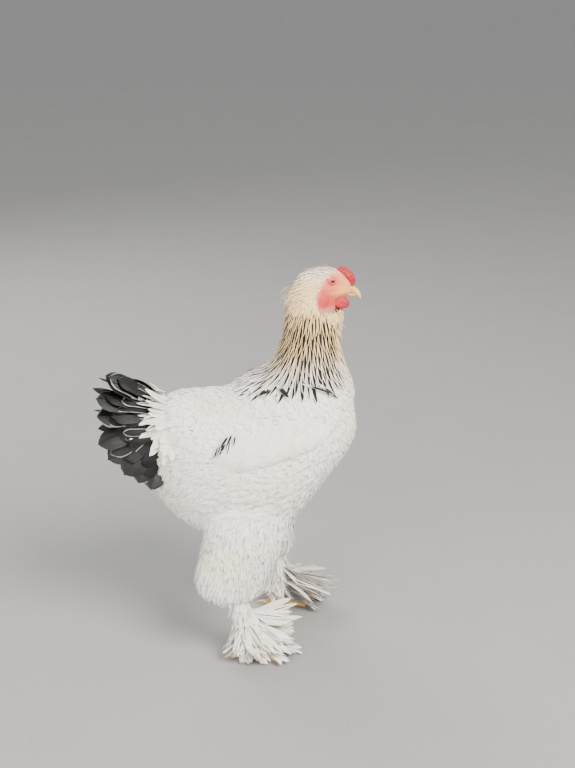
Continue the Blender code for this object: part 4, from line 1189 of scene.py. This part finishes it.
def lay(name, blade, stations, widths, tints, draw, columns=4, thick=0.0004, centre=None, edge=None,
        light=0.10, roll=6.0):
    """One joined mesh of closed blades along the stations, with their colours and maps."""
    spots, sides, ups = stations
    hollow, ragged = BLADES[blade][4:]
    count, rows = len(spots), spots.shape[1] - 1
    along = 1 - (1 - np.linspace(0, 1, rows + 1)) ** 1.5
    spots, sides, ups = (read_between(np.asarray(item), along) for item in (spots, sides, ups))
    share = outline(blade, along)
    across = np.linspace(-1, 1, columns + 1)
    half = (np.broadcast_to(np.asarray(widths, float), (count,)) / 2)[:, None, None]
    turn = np.radians(draw.normal(0, roll, count))[:, None, None] * along[None, :, None]
    side = sides * np.cos(turn) + ups * np.sin(turn)
    up = ups * np.cos(turn) - sides * np.sin(turn)
    ahead = unit(np.gradient(spots, axis=1))
    out = across[None, None, :] * share[None, :, None] * half
    drop = hollow * across[None, None, :] ** 2 * share[None, :, None] * half
    late = smooth_step(along, 0.45, 1.0)[None, :, None]
    pull = 0.15 * np.abs(across[None, None, :]) ** 1.8 * late * half
    jag = draw.uniform(-1, 1, (count, 1, columns + 1)) * (late**3) * ragged * half * 2
    top = (spots[:, :, None] + side[:, :, None] * out[..., None] - up[:, :, None] * drop[..., None]
           + ahead[:, :, None] * (jag - pull)[..., None])
    under = top[:, 1:-1, 1:-1] - up[:, 1:-1, None] * thick
    quads, size = blade_faces(rows, columns)
    points = np.concatenate([top.reshape(count, -1, 3), under.reshape(count, -1, 3)], axis=1)
    faces = (quads[None] + (np.arange(count) * size)[:, None, None]).reshape(-1, 4)

    def per_point(grid):
        grid = np.broadcast_to(grid, (count, rows + 1, columns + 1))
        return np.concatenate([grid.reshape(count, -1), grid[:, 1:-1, 1:-1].reshape(count, -1)], axis=1)

    mesh = bpy.data.meshes.new(name)
    mesh.vertices.add(points.size // 3)
    mesh.vertices.foreach_set("co", points.ravel())
    mesh.loops.add(faces.size)
    mesh.loops.foreach_set("vertex_index", faces.ravel().astype(np.int32))
    mesh.polygons.add(len(faces))
    mesh.polygons.foreach_set("loop_start", np.arange(len(faces), dtype=np.int32) * 4)
    mesh.update(calc_edges=True)
    rim = np.ones((rows + 1, columns + 1), bool)
    rim[1:-1, 1:-1] = False
    on_rim = per_point(rim[None]).astype(bool).ravel()
    ends = np.empty(len(mesh.edges) * 2, np.int32)
    mesh.edges.foreach_get("vertices", ends)
    sharp = mesh.attributes.new("sharp_edge", "BOOLEAN", "EDGE")
    sharp.data.foreach_set("value", on_rim[ends.reshape(-1, 2)].all(axis=1))
    u = per_point(across[None, None, :] * 0.5 + 0.5)
    v = per_point(along[None, :, None])
    patch = root_patch(spots[:, 0])
    order = faces.ravel()
    for map_name, first, second in (
        ("OFBake", patch[:, :1] + (u - 0.5) * PATCH, patch[:, 1:] + (v - 0.5) * PATCH), ("Vane", u, v),
    ):
        layer = mesh.uv_layers.new(name=map_name)
        pair = np.stack([first.ravel()[order], second.ravel()[order]], axis=1)
        layer.data.foreach_set("uv", pair.ravel().astype(np.float32))
    # Painted shade: each feather's tint is darker toward its root and along its middle, and lightest at its
    # edges and tip, standing in for the shade where the feathers overlap.
    tone = 1.0 - light + light * np.maximum(np.abs(u - 0.5) * 2, v) ** 1.5
    base = np.broadcast_to(np.asarray(tints, float), (count, 3))
    painted(mesh, "tint", (base[:, None, :] * tone[..., None]).reshape(-1, 3))
    for mark, strength in (("centre", centre), ("edge", edge)):
        if strength is not None:
            strength = np.broadcast_to(np.asarray(strength, float), (count,))
            painted(mesh, mark, np.repeat(strength[:, None], size, axis=1).ravel())
    piece = bpy.data.objects.new(name, mesh)
    bpy.context.scene.collection.objects.link(piece)
    mesh.polygons.foreach_set("use_smooth", np.ones(len(faces), bool))
    mesh.update()
    return piece


print("blades:", list(BLADES))

# %% [markdown]
# Body feathers are short, broad and round-tipped, and lie in a loose, even cover. Those of the
# thighs and under the tail are softer and more ragged. Thin wisps of down lie over all of them, as
# they do on this fluffy breed. The colour of each feather differs a little from its neighbours',
# which keeps a white bird from looking like plaster.

# %% Body and thigh feathers
WHITE = np.array([0.89, 0.855, 0.795])


def white_tints(count, draw, spread=0.03, warm=0.02):
    tone = 1.0 + draw.normal(0, spread, (count, 1))
    cast = draw.normal(0, warm, (count, 1))
    return np.clip(WHITE * tone * np.concatenate([1 + 0 * cast, 1 - cast * 0.3, 1 - cast], axis=1), 0, 0.95)


def coat_piece(name, blade, places, length, width, rows, lifts, seed, slot="white_feather",
               material=WHITE_PLUMAGE, tints=None, vary=0.12, wander=7.0, lean=0.0, **more):
    """One piece of the coat: blades that root at the places and lie over the coat's outline."""
    draw = np.random.default_rng(seed)
    lengths = length * (1 + draw.uniform(-vary, vary, len(places)))
    widths = width * (1 + draw.uniform(-vary, vary, len(places)))
    low, high = lifts
    lift_pair = (low * np.ones(len(places)), high * (1 + draw.uniform(-0.5, 0.5, len(places))))
    stations = tuple(lying(places, lengths, rows, lift_pair, draw, wander, lean))
    tints = white_tints(len(places), draw) if tints is None else tints
    piece = lay(name, blade, stations, widths, tints, draw, **more)
    finish_piece(piece, material, slot)
    print(name, len(places), "feathers,", 2 * len(piece.data.polygons), "triangles")


def body_zone(places):
    ahead, _, height = from_hip(places)
    return (height < 0.460 + 0.014 * (ahead > 0.135)) & (height > 0.212)


def between_heights(low, high):
    """A zone of the coat, for scatter."""
    return lambda places: (places[:, 2] > low) & (places[:, 2] < high)


def faded(places, low, high, seed):
    """Keeps the places above high, loses those below low, and thins them out evenly between."""
    share = smooth_step(from_hip(places)[2], min(low, high), max(low, high))
    share = share if high > low else 1 - share
    return places[np.random.default_rng(seed).random(len(places)) < share]


body_places = faded(scatter(0.0064, body_zone, 11), 0.225, 0.285, 10)
rear = from_hip(body_places)[0] < -0.110
for word, side in SIDES:
    on_side = np.sign(body_places[:, 1]) == side
    coat_piece(f"body_feathers_{word}", "round", body_places[on_side & ~rear], 0.031, 0.0190, 5,
               (-0.0048, 0.0008), 12 + side, roll=4.0)
coat_piece("rear_feathers", "fluff", body_places[rear], 0.036, 0.0160, 5, (-0.0045, 0.0016), 15, wander=12.0)
leg_places = faded(scatter(0.0056, between_heights(0.10, 0.325), 21), 0.325, 0.255, 20)
for word, side in SIDES:
    mine = np.sign(leg_places[:, 1]) == side
    coat_piece(f"thigh_feathers_{word}", "fluff", leg_places[mine], 0.031, 0.0105, 5, (-0.0045, 0.0026),
               21 + side, wander=13.0)
down_places = faded(scatter(0.0052, between_heights(0.10, 0.43), 25), 0.40, 0.24, 24)
ahead, _, height = from_hip(down_places)
shaggy = np.maximum(smooth_step(-ahead, 0.07, 0.13), smooth_step(-height, -0.29, -0.2))
for word, side in SIDES:
    mine = np.sign(down_places[:, 1]) == side
    coat_piece(f"down_{word}", "wisp", down_places[mine], 0.020 + 0.008 * shaggy[mine], 0.0034, 4,
               (-0.0020, 0.0010 + 0.0034 * shaggy[mine]), 26 + side, wander=16.0, vary=0.3, columns=2,
               thick=0.0002)

# %% [markdown]
# The hackle feathers of a Light Brahma are narrow and long, white along the edge with a black
# stripe up the middle. They root in lanes that run down the neck, each feather over the next one
# of its lane, and that is why the stripes read as long unbroken lines. On the throat they fade out,
# and near the head the feathers are plain cream.

# %% Neck hackle
CREAM = np.array([0.84, 0.61, 0.29])
HACKLE_STEP = 0.0150


def hackle_lanes(draw):
    """Roots down each lane, from the nape to the cape's rim, with the lane's width at each root."""
    heights = np.linspace(0.598, 0.4255, 160)
    middle, half, flank = neck_at(heights)
    roots = []
    for lane in range(HACKLE_LANES):
        turn = 2 * math.pi * (lane + 0.5) / HACKLE_LANES
        line = np.stack([HIP + middle + half * math.cos(turn), flank * math.sin(turn), heights], axis=1)
        run = np.concatenate([[0], np.cumsum(np.linalg.norm(np.diff(line, axis=0), axis=1))])
        marks = np.arange(draw.uniform(0, HACKLE_STEP), run[-1], HACKLE_STEP)
        marks = marks + draw.normal(0, 0.0010, len(marks))
        spots = np.stack([np.interp(marks, run, line[:, axis]) for axis in range(3)], axis=1)
        spacing = np.hypot(np.interp(marks, run, half) * math.sin(turn),
                           np.interp(marks, run, flank) * math.cos(turn))
        roots.append(np.concatenate([spots, (spacing * 2 * math.pi / HACKLE_LANES)[:, None]], axis=1))
    return np.concatenate(roots)


draw = np.random.default_rng(32)
found = hackle_lanes(draw)
ahead, aside, height = from_hip(found[:, :3])
middle, half, _ = neck_at(height)
frontness = np.clip((ahead - middle) / half, -1, 1)
rim = 0.478 - 0.024 * smooth_step(-frontness, 0.2, 0.9) + draw.normal(0, 0.001, len(found))
kept = ~((height > 0.566) & (ahead > 0.096)) & (height > rim)
found, frontness = found[kept], frontness[kept]
neck_places, lane_width = found[:, :3] + draw.normal(0, 0.0003, (len(found), 3)), found[:, 3]
_, _, neck_height = from_hip(neck_places)
stripe = (0.45 + 0.55 * smooth_step(-neck_height, -0.585, -0.550)) * smooth_step(-neck_height, -0.600, -0.590)
stripe = stripe * (1 - 0.95 * smooth_step(frontness, 0.50, 0.82)) * draw.uniform(0.75, 1.15, len(stripe))
cream_share = np.maximum(smooth_step(neck_height, 0.47, 0.55), smooth_step(frontness, 0.3, 0.8) * 0.6
                         * smooth_step(neck_height, 0.455, 0.51))[:, None]
hackle_tint = (WHITE * (1 - cream_share) + CREAM * cream_share) * (1 + draw.normal(0, 0.04, (len(stripe), 1)))
low_share = smooth_step(-neck_height, -0.585, -0.50)
reach = 0.036 + 0.018 * low_share
wide = np.clip(lane_width * 1.16, 0.0046, 0.0125)
cape_lift = 0.0008 + 0.0020 * smooth_step(-neck_height, -0.52, -0.47)
for word, side in SIDES:
    mine = np.sign(neck_places[:, 1]) == side
    deep = -0.0100 * smooth_step(-neck_height[mine], -0.60, -0.57)
    coat_piece(f"hackle_{word}", "lance", neck_places[mine], reach[mine], wide[mine], 10,
               (deep, cape_lift[mine]), 33 + side, slot="striped_hackle", material=HACKLE_PLUMAGE,
               tints=hackle_tint[mine], centre=stripe[mine], wander=2.0, light=0.04, roll=4.0)

# %% [markdown]
# The head's feathers are a few millimetres long and lie close. They stop in an irregular edge at
# the bare face, which keeps only a few pale bristles.

# %% Head feathers
def bare_share(places):
    """One on the bare face, nought where the small feathers are full."""
    ahead, aside, height = from_hip(places)
    face = ((ahead - 0.1240) / 0.0265) ** 2 + ((height - 0.5895) / 0.0255) ** 2
    ear = ((ahead - 0.0990) / 0.0095) ** 2 + ((height - 0.5790) / 0.0150) ** 2
    crown = smooth_step(height, 0.6120, 0.6165)
    comb_strip = (ahead > 0.124) & (aside < 0.008) & (height > 0.60)
    jaw = ((ahead - 0.1180) / 0.0200) ** 2 + ((height - 0.5700) / 0.0120) ** 2
    bare = np.maximum(smooth_step(-face, -1.15, -0.9), smooth_step(-ear, -1.15, -0.9))
    bare = np.maximum(bare, smooth_step(-jaw, -1.15, -0.9))
    bare = bare * (1 - crown)
    return np.maximum(bare, comb_strip | (ahead > 0.140))


def head_zone(places):
    ahead, _, height = from_hip(places)
    return (height > 0.552 + 0.016 * (ahead < 0.105)) & (ahead > 0.050)


head_places = scatter(0.0018, head_zone, 41)
draw = np.random.default_rng(42)
bare = bare_share(head_places)
dressed = head_places[bare < draw.random(len(bare)) * 0.9 + 0.05]
tone = 1 + draw.normal(0, 0.05, (len(dressed), 1))
low_head = smooth_step(-from_hip(dressed)[2], -0.600, -0.562)
crown_share = 0.35 * smooth_step(from_hip(dressed)[2], 0.600, 0.618)[:, None]
coat_piece("head_feathers", "tiny", dressed, 0.0086 + 0.0070 * low_head, 0.0027 + 0.0007 * low_head, 3,
           (-0.0012 - 0.002 * low_head, 0.0012), 43, slot="face_skin",
           tints=(CREAM * (0.95 - crown_share) + WHITE * (0.05 + crown_share)) * tone, vary=0.3, wander=14.0,
           columns=2, thick=0.0002)
bristly = (bare > 0.5) & (from_hip(head_places)[0] > 0.108) & (draw.random(len(bare)) < 0.10)
coat_piece("face_bristles", "tiny", head_places[bristly], 0.0034, 0.0006, 3, (-0.0002, 0.0006), 44,
           slot="face_skin", tints=np.array([0.74, 0.46, 0.32]), vary=0.3, wander=20.0, columns=2,
           thick=0.0001)

# %% Loose tufts of the crown, nape and throat
def tuft_zone(places):
    ahead, aside, height = from_hip(places)
    crown = (height > 0.614) & (ahead < 0.120) & (aside < 0.017)
    nape = (ahead < 0.078) & (height > 0.580)
    return (crown | nape) & (ahead > 0.03)


tuft_places = scatter(0.0040, tuft_zone, 46)
tuft_white = smooth_step(from_hip(tuft_places)[2], 0.596, 0.618)[:, None]
tuft_tint = CREAM * (1 - 0.7 * tuft_white) + WHITE * 0.7 * tuft_white
tuft_tint = tuft_tint * (1 + draw.normal(0, 0.04, (len(tuft_places), 1)))
coat_piece("head_tufts", "fluff", tuft_places, 0.0120, 0.0028, 4, (-0.0012, 0.0040), 47, slot="face_skin",
           tints=tuft_tint, vary=0.4, wander=26.0, columns=2, thick=0.0002)
rows = []
for i in range(14):
    side = 1 if i % 2 else -1
    t = draw.random()
    rows.append(((HIP + 0.054, side * (0.002 + 0.020 * t), 0.584 + draw.uniform(-0.006, 0.008)),
                 (-1.0, side * 0.25 * t, draw.uniform(-1.0, -0.45)), (-0.3, 0.0, 1.0),
                 draw.uniform(0.014, 0.026), draw.uniform(0.0014, 0.0024), draw.uniform(-55, -20)))
for i in range(30):
    side = 1 if i % 2 else -1
    t = draw.random()
    rows.append(((HIP + 0.1300 - 0.016 * t**2, side * (0.002 + 0.026 * t), draw.uniform(0.540, 0.556)),
                 (0.42 - 0.3 * t, side * 0.30 * t, -1.0), (1.0, side * t, 0.3), draw.uniform(0.016, 0.026),
                 draw.uniform(0.0036, 0.0056), draw.uniform(-20, 25)))
roots, ways, faces, lengths, widths, droops = (np.array(column) for column in zip(*rows))
loose = lay("loose_tufts", "fluff", reaching(roots, ways, faces, lengths, droops, 5), widths,
            np.array([0.85, 0.68, 0.42]) * (1 + draw.normal(0, 0.05, (len(rows), 1))), draw, columns=2)
finish_piece(loose, WHITE_PLUMAGE, "striped_hackle")
print("loose tufts:", len(rows))

# %% [markdown]
# The folded wing shows narrow flight feathers low at the back, with orderly rows of coverts in
# front of them. Their tips stand off the coat by about two millimetres, so their edges cast the thin
# shadows that draw a wing.

# %% Wings
WING_TIERS = (  # count, first root ahead and up, last root, length, width, root and tip over the coat
    (11, -0.010, 0.412, -0.030, 0.349, 0.074, 0.0150, 0.0010, 0.0030),
    (11, 0.016, 0.415, -0.004, 0.352, 0.050, 0.0150, 0.0012, 0.0036),
    (10, 0.036, 0.418, 0.018, 0.358, 0.042, 0.0150, 0.0013, 0.0042),
    (10, 0.056, 0.421, 0.038, 0.365, 0.040, 0.0150, 0.0014, 0.0046),
    (9, 0.076, 0.424, 0.058, 0.374, 0.038, 0.0155, 0.0014, 0.0048),
    (8, 0.094, 0.426, 0.078, 0.384, 0.036, 0.0160, 0.0012, 0.0046),
    (7, 0.112, 0.428, 0.098, 0.395, 0.034, 0.0160, 0.0008, 0.0040),
)
ROOT_SHARE, TIP_SHARE = 0.4, 0.5  # how much of the tiers' heights the roots and tips keep


def make_wing(side, word):
    draw = np.random.default_rng(51 + side)
    places, lengths, widths, lows, highs = [], [], [], [], []
    for count, x0, z0, x1, z1, length, width, low, high in WING_TIERS:
        for i in range(count):
            t = i / (count - 1)
            places.append((HIP + x0 + (x1 - x0) * t + draw.normal(0, 0.002), side * 0.14,
                           z0 + (z1 - z0) * t + draw.normal(0, 0.0012)))
            lengths.append(length * (1.0 - 0.15 * abs(t - 0.4)) * (1 + draw.normal(0, 0.05)))
            widths.append(width * (1 + draw.normal(0, 0.05)))
            lows.append(low * ROOT_SHARE)
            highs.append((high + 0.0006 * (1 - t)) * TIP_SHARE)
    lifts = (np.array(lows), np.array(highs))
    stations = tuple(lying(np.array(places), np.array(lengths), 7, lifts, draw, 4.0))
    tints = white_tints(len(places), draw)
    wing = lay("wing_feathers_" + word, "broad", stations, np.array(widths), tints, draw, roll=2.5)
    finish_piece(wing, WHITE_PLUMAGE, "white_feather", "wing_" + word)
    return wing


wings = [make_wing(side, word) for word, side in SIDES]
print("wings:", [len(wing.data.polygons) for wing in wings])

# %% Dark flecks at the wing's end and the cape's rim
MARKS = (  # ahead, aside, height, lean, length, width, darkness
    (-0.058, 0.125, 0.432, 54, 0.022, 0.0044, 0.9), (-0.064, 0.125, 0.424, 50, 0.026, 0.0046, 1.0),
    (-0.054, 0.125, 0.420, 58, 0.020, 0.0036, 0.8), (-0.070, 0.125, 0.414, 48, 0.024, 0.0050, 1.2),
    (-0.062, 0.125, 0.410, 54, 0.020, 0.0038, 0.7), (-0.080, 0.125, 0.410, 44, 0.022, 0.0044, 1.0),
    (-0.082, 0.125, 0.400, 46, 0.020, 0.0036, 0.7), (-0.074, 0.125, 0.398, 50, 0.018, 0.0048, 1.2),
    (-0.088, 0.125, 0.396, 42, 0.018, 0.0036, 0.8), (-0.004, 0.062, 0.474, -14, 0.020, 0.0046, 1.5),
    (0.002, 0.062, 0.472, 4, 0.018, 0.0050, 1.5), (0.016, 0.062, 0.469, 56, 0.036, 0.0044, 1.5),
    (0.060, 0.066, 0.458, 60, 0.038, 0.0032, 1.4), (0.086, 0.066, 0.456, 54, 0.034, 0.0030, 1.2),
)
marks = np.array([(*mark, side) for mark in MARKS for side in (1, -1)])
spots = np.stack([HIP + marks[:, 0], marks[:, 7] * marks[:, 1], marks[:, 2]], axis=1)
coat_piece("dark_flecks", "lance", spots, marks[:, 4] * 1.15, marks[:, 5] * 1.4, 6, (0.0012, 0.0058), 58,
           material=HACKLE_PLUMAGE, centre=marks[:, 6] * 1.15, lean=-marks[:, 7] * marks[:, 3], vary=0.2,
           slot="striped_hackle")

# %% [markdown]
# A Brahma's tail is a rounded fan of broad black quills, roofed over by curved coverts with thin
# white edges. Each feather is placed by its pair's lift, splay and face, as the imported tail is, with
# more and narrower feathers.

# %% Tail
TAIL_ROOT = (-0.158, 0.0, 0.389)
TAIL_TIERS = (  # pairs, lifts, length and its loss, width, splays, rise, distance out, droop, lacing
    (8, 42.0, -72.0, 0.106, 0.026, 0.040, 5.0, 28.0, 0.018, 0.000, -14.0, 0.3),
    (8, 50.0, -66.0, 0.096, 0.020, 0.034, 8.0, 31.0, 0.021, 0.007, -34.0, 0.5),
    (8, 56.0, -60.0, 0.082, 0.012, 0.030, 12.0, 35.0, 0.023, 0.013, -50.0, 0.8),
    (8, 62.0, -44.0, 0.068, 0.008, 0.022, 15.0, 40.0, 0.025, 0.019, -64.0, 0.9),
    (12, 58.0, 0.0, 0.074, 0.016, 0.011, 6.0, 40.0, 0.030, 0.022, -70.0, 1.0),
)


def fan_of(tiers, draw, forward=0.004, loose=2.0):
    """Roots, ways, faces and sizes of a fan of feathers on both sides of the tail's root."""
    rows = []
    for pairs, first, last, length, loss, width, splay, wide_splay, rise, out, droop, lace in tiers:
        for i in range(pairs):
            t = i / (pairs - 1)
            for side in (1, -1):
                lift = math.radians(first + (last - first) * t + draw.normal(0, loose))
                spread = math.radians(splay + (wide_splay - splay) * t + draw.normal(0, loose))
                way = (-math.cos(lift) * math.cos(spread), side * math.sin(spread),
                       math.sin(lift) * math.cos(spread))
                root = (HIP + TAIL_ROOT[0] + forward, side * (0.003 + 0.012 * t + out * (0.4 + 0.6 * t)),
                        TAIL_ROOT[2] + rise - 0.046 * t)
                face = (-0.12, side * (0.38 + 0.62 * t), 0.98 - 0.9 * t)
                rows.append((root, way, face, (length - loss * t**2) * (1 + draw.normal(0, 0.04)),
                             width * (1 + draw.normal(0, 0.06)), droop + draw.normal(0, 5),
                             lace * (draw.random() < 0.45)))
    return [np.array(column) for column in zip(*rows)]


draw = np.random.default_rng(61)
roots, ways, faces, lengths, widths, droops, laces = fan_of(TAIL_TIERS, draw)
stations = reaching(roots, ways, faces, lengths, droops, 14)
tone = 1 + draw.normal(0, 0.2, (len(roots), 1))
tail = lay("tail_feathers", "quill", stations, widths, np.array([0.0085, 0.0080, 0.0080]) * tone, draw,
           columns=8, thick=0.0005, centre=np.full(len(roots), 0.5), edge=laces, light=0.25, roll=6.0)
finish_piece(tail, TAIL_PLUMAGE, "black_feather", "tail")
print("tail:", len(roots), "feathers")

# %% [markdown]
# White cushion feathers spill from the back and the fluff over the tail's root, and leave a ragged
# edge of ovals with dark gaps between them.

# %% Cushion over the tail's root
CUSHION_TIERS = (
    (10, 40.0, -70.0, 0.052, 0.010, 0.0110, 12.0, 40.0, 0.028, 0.028, -30.0, 0.6),
    (13, 48.0, -80.0, 0.044, 0.008, 0.0110, 14.0, 46.0, 0.030, 0.034, -28.0, 0.4),
    (15, 56.0, -84.0, 0.036, 0.004, 0.0120, 16.0, 50.0, 0.031, 0.040, -24.0, 0.0),
    (2, 12.0, 2.0, 0.064, 0.004, 0.0170, 22.0, 26.0, 0.040, 0.030, -16.0, 0.0),
)
draw = np.random.default_rng(65)
roots, ways, faces, lengths, widths, droops, marks = fan_of(CUSHION_TIERS, draw, forward=0.014, loose=8.0)
marks = marks * (roots[:, 2] > TAIL_ROOT[2] + 0.004)
stations = reaching(roots, ways, faces, lengths, droops, 10)
cushion = lay("cushion_feathers", "round", stations, widths, white_tints(len(roots), draw), draw,
              centre=marks, roll=12.0)
finish_piece(cushion, HACKLE_PLUMAGE, "white_feather")
print("cushion:", len(roots), "feathers")

# %% [markdown]
# The boots are the breed's mark: feathers fan out from the shanks and toes and cover the feet. They
# stand in rows from the hock down, the upper ones hanging close all round the shank, the lower ones
# spreading flat over the floor.

# %% Boots and hocks
BOOT_ROWS = (  # count, root height, first and last angle, first and last length, width, rise, fall, droop
    (28, 0.082, -40, 200, 0.052, 0.040, 0.0095, -0.50, -1.8, 16),
    (30, 0.074, -36, 190, 0.078, 0.048, 0.0100, -0.28, -1.5, 16),
    (30, 0.066, -34, 182, 0.096, 0.052, 0.0105, -0.10, -1.3, 16),
    (30, 0.058, -36, 172, 0.098, 0.052, 0.0105, -0.06, -1.0, 16),
    (28, 0.050, -48, 162, 0.096, 0.050, 0.0105, 0.00, -0.8, 18),
    (28, 0.042, -48, 150, 0.092, 0.048, 0.0105, -0.02, -0.6, 20),
    (26, 0.034, -48, 142, 0.088, 0.046, 0.0105, 0.00, -0.4, 20),
    (24, 0.027, -46, 134, 0.084, 0.044, 0.0100, 0.03, -0.3, 22),
    (22, 0.020, -44, 126, 0.080, 0.042, 0.0100, 0.04, -0.2, 22),
)
INNER_ROWS = tuple(  # the shank's inner side, short and hanging
    (13, 0.034 + 0.0115 * i, 200, 345, 0.042, 0.040, 0.0090, -0.5 - 0.3 * i, -0.5 - 0.3 * i, 10)
    for i in range(6)
)
SHANK_ROWS = tuple((26, 0.116 - 0.0075 * i, 0.032 + 0.001 * i, 0.0062) for i in range(8))  # all round
SHANK_FOOT, SHANK_TOP = 0.017, 0.130
OUTWARD_LOSS = 0.24  # share of its length that a feather pointing straight out gives up
HOCK_ROWS = (  # count, height, distance from the leg's middle, length, width
    (34, 0.114, 0.012, 0.020, 0.0050), (42, 0.122, 0.020, 0.022, 0.0050), (46, 0.131, 0.026, 0.024, 0.0050),
    (48, 0.141, 0.029, 0.026, 0.0052), (50, 0.153, 0.031, 0.028, 0.0054),
)


def make_boot(side, word, foot_x, hock_x):
    draw = np.random.default_rng(71 + side)
    rows = []
    for count, height, first, last, long, short, width, rise, fall, droop in BOOT_ROWS + INNER_ROWS:
        for i in range(count):
            if i % 4 == 0:
                drift, tilt, stretch = draw.normal(0, 5), draw.normal(0, 0.08), 1 + draw.normal(0, 0.08)
            t = i / (count - 1)
            clump = (i // 4 * 4 + 1.5) / (count - 1)
            angle = first + (last - first) * (t + 0.6 * (clump - t)) + drift + draw.normal(0, 2.5)
            climb = rise + (fall - rise) * t**1.5 + tilt + draw.normal(0, 0.05)
            heading = flat_heading(side, angle) + Vector((0, 0, climb))
            share = (height - SHANK_FOOT) / (SHANK_TOP - SHANK_FOOT)
            root = (HIP + foot_x + (hock_x - foot_x) * share, side * STANCE, height + draw.normal(0, 0.002))
            outward = abs(math.sin(math.radians(angle)))
            face = flat_heading(side, angle + 90) * (1 - outward) + Vector((0, 0, 0.25 + 0.75 * outward))
            if angle > 200 or rise < -0.9:
                face = flat_heading(side, angle) + Vector((0, 0, 0.3))
            reach = (long + (short - long) * t) * stretch * (1 - OUTWARD_LOSS * outward**2)
            rows.append((root, heading[:], face[:], reach * (1 + draw.normal(0, 0.07)),
                         width * (1 + draw.normal(0, 0.15)), -droop + draw.normal(0, 12)))
    for _, angle, reach, radius in TOES[1:3]:
        for i in range(22):
            t, turn = draw.uniform(0.10, 0.92), draw.uniform(-40, 40)
            root = Vector((HIP + foot_x, side * STANCE, 0.004 + 2 * radius * (1 - 0.5 * t)))
            root += flat_heading(side, angle) * reach * t
            way = flat_heading(side, angle + turn) + Vector((0, 0, draw.uniform(-0.05, 0.25)))
            rows.append((root[:], way[:], (0, 0, 1), draw.uniform(0.022, 0.034),
                         draw.uniform(0.007, 0.011), draw.uniform(-55, -25)))
    for count, height, length, width in SHANK_ROWS:
        for i in range(count):
            out = flat_heading(side, 360 * i / count + draw.normal(0, 6))
            share = (height - SHANK_FOOT) / (SHANK_TOP - SHANK_FOOT)
            root = Vector((HIP + foot_x + (hock_x - foot_x) * share, side * STANCE, height)) + out * 0.008
            rows.append((root[:], (out * 0.42 + Vector((0, 0, -1)))[:], (out + Vector((0, 0, 0.4)))[:],
                         length * (1 + draw.normal(0, 0.1)), width * (1 + draw.normal(0, 0.1)),
                         -14 + draw.normal(0, 12)))
    shift = leg_shift(0.150, LEFT_HOCK_AHEAD if side > 0 else 0.0)
    for count, height, away, length, width in HOCK_ROWS:
        for i in range(count):
            spread = math.radians(300 * (i / (count - 1) - 0.5) + 22 + draw.normal(0, 4))
            out = (-math.cos(spread), side * math.sin(spread))
            root = (HIP + shift - 0.056 + out[0] * away * 1.30, side * 0.073 + out[1] * away * 0.9, height)
            rows.append((root, (out[0] * 0.30 - 0.05, out[1] * 0.30, -1.0), (out[0], out[1], 0.4),
                         length * (1 + draw.normal(0, 0.15)), width * (1 + draw.normal(0, 0.2)),
                         -26 + draw.normal(0, 14)))
    roots, ways, faces, lengths, widths, droops = (np.array(column) for column in zip(*rows))
    spots, sides, ups = reaching(roots, ways, faces, lengths, droops, 8)
    spots[:, :, 2] = np.maximum(spots[:, :, 2], 0.0030 + 0.0030 * draw.random((len(spots), 1)))
    tints = white_tints(len(roots), draw)
    low = np.clip((0.095 - roots[:, 2]) / 0.02, 0, 1)
    smoky = draw.random(len(roots)) < 0.09 * low
    tints[smoky] = np.array([0.42, 0.44, 0.49]) * draw.uniform(0.8, 1.3, (smoky.sum(), 1))
    lined = np.where(draw.random(len(roots)) < 0.38 * low, draw.uniform(0.24, 0.48, len(roots)), 0.0)
    boot = lay("boot_feathers_" + word, "plume", (spots, sides, ups), widths, tints, draw, centre=lined,
               light=0.10, roll=14.0)
    for vertex in boot.data.vertices:
        vertex.co.z = max(vertex.co.z, 0.0008)
    finish_piece(boot, HACKLE_PLUMAGE, "white_feather")
    return boot


boots = [make_boot(side, word, foot_x, hock_x) for word, (side, foot_x, hock_x) in ANKLES.items()]
print("boots:", [len(boot.data.polygons) for boot in boots])

# %% [markdown]
# The floor is a plain pale sheet with a slight mottle, and the coat's outline has done its work, so
# it goes.

# %% Floor
floor_finish, floor_tree, floor_shader = new_finish("pale floor")
mottle = noise_node(floor_tree, object_place(floor_tree), 6.0)
floor_tone = mix_node(floor_tree, mottle, (0.275, 0.27, 0.26, 1.0), (0.30, 0.295, 0.285, 1.0))
feed(floor_tree, floor_shader.inputs["Base Color"], floor_tone)
feed(floor_tree, floor_shader.inputs["Roughness"], 0.85)
floor.data.materials.append(floor_finish)
bpy.data.objects.remove(coat)
bpy.context.view_layer.update()
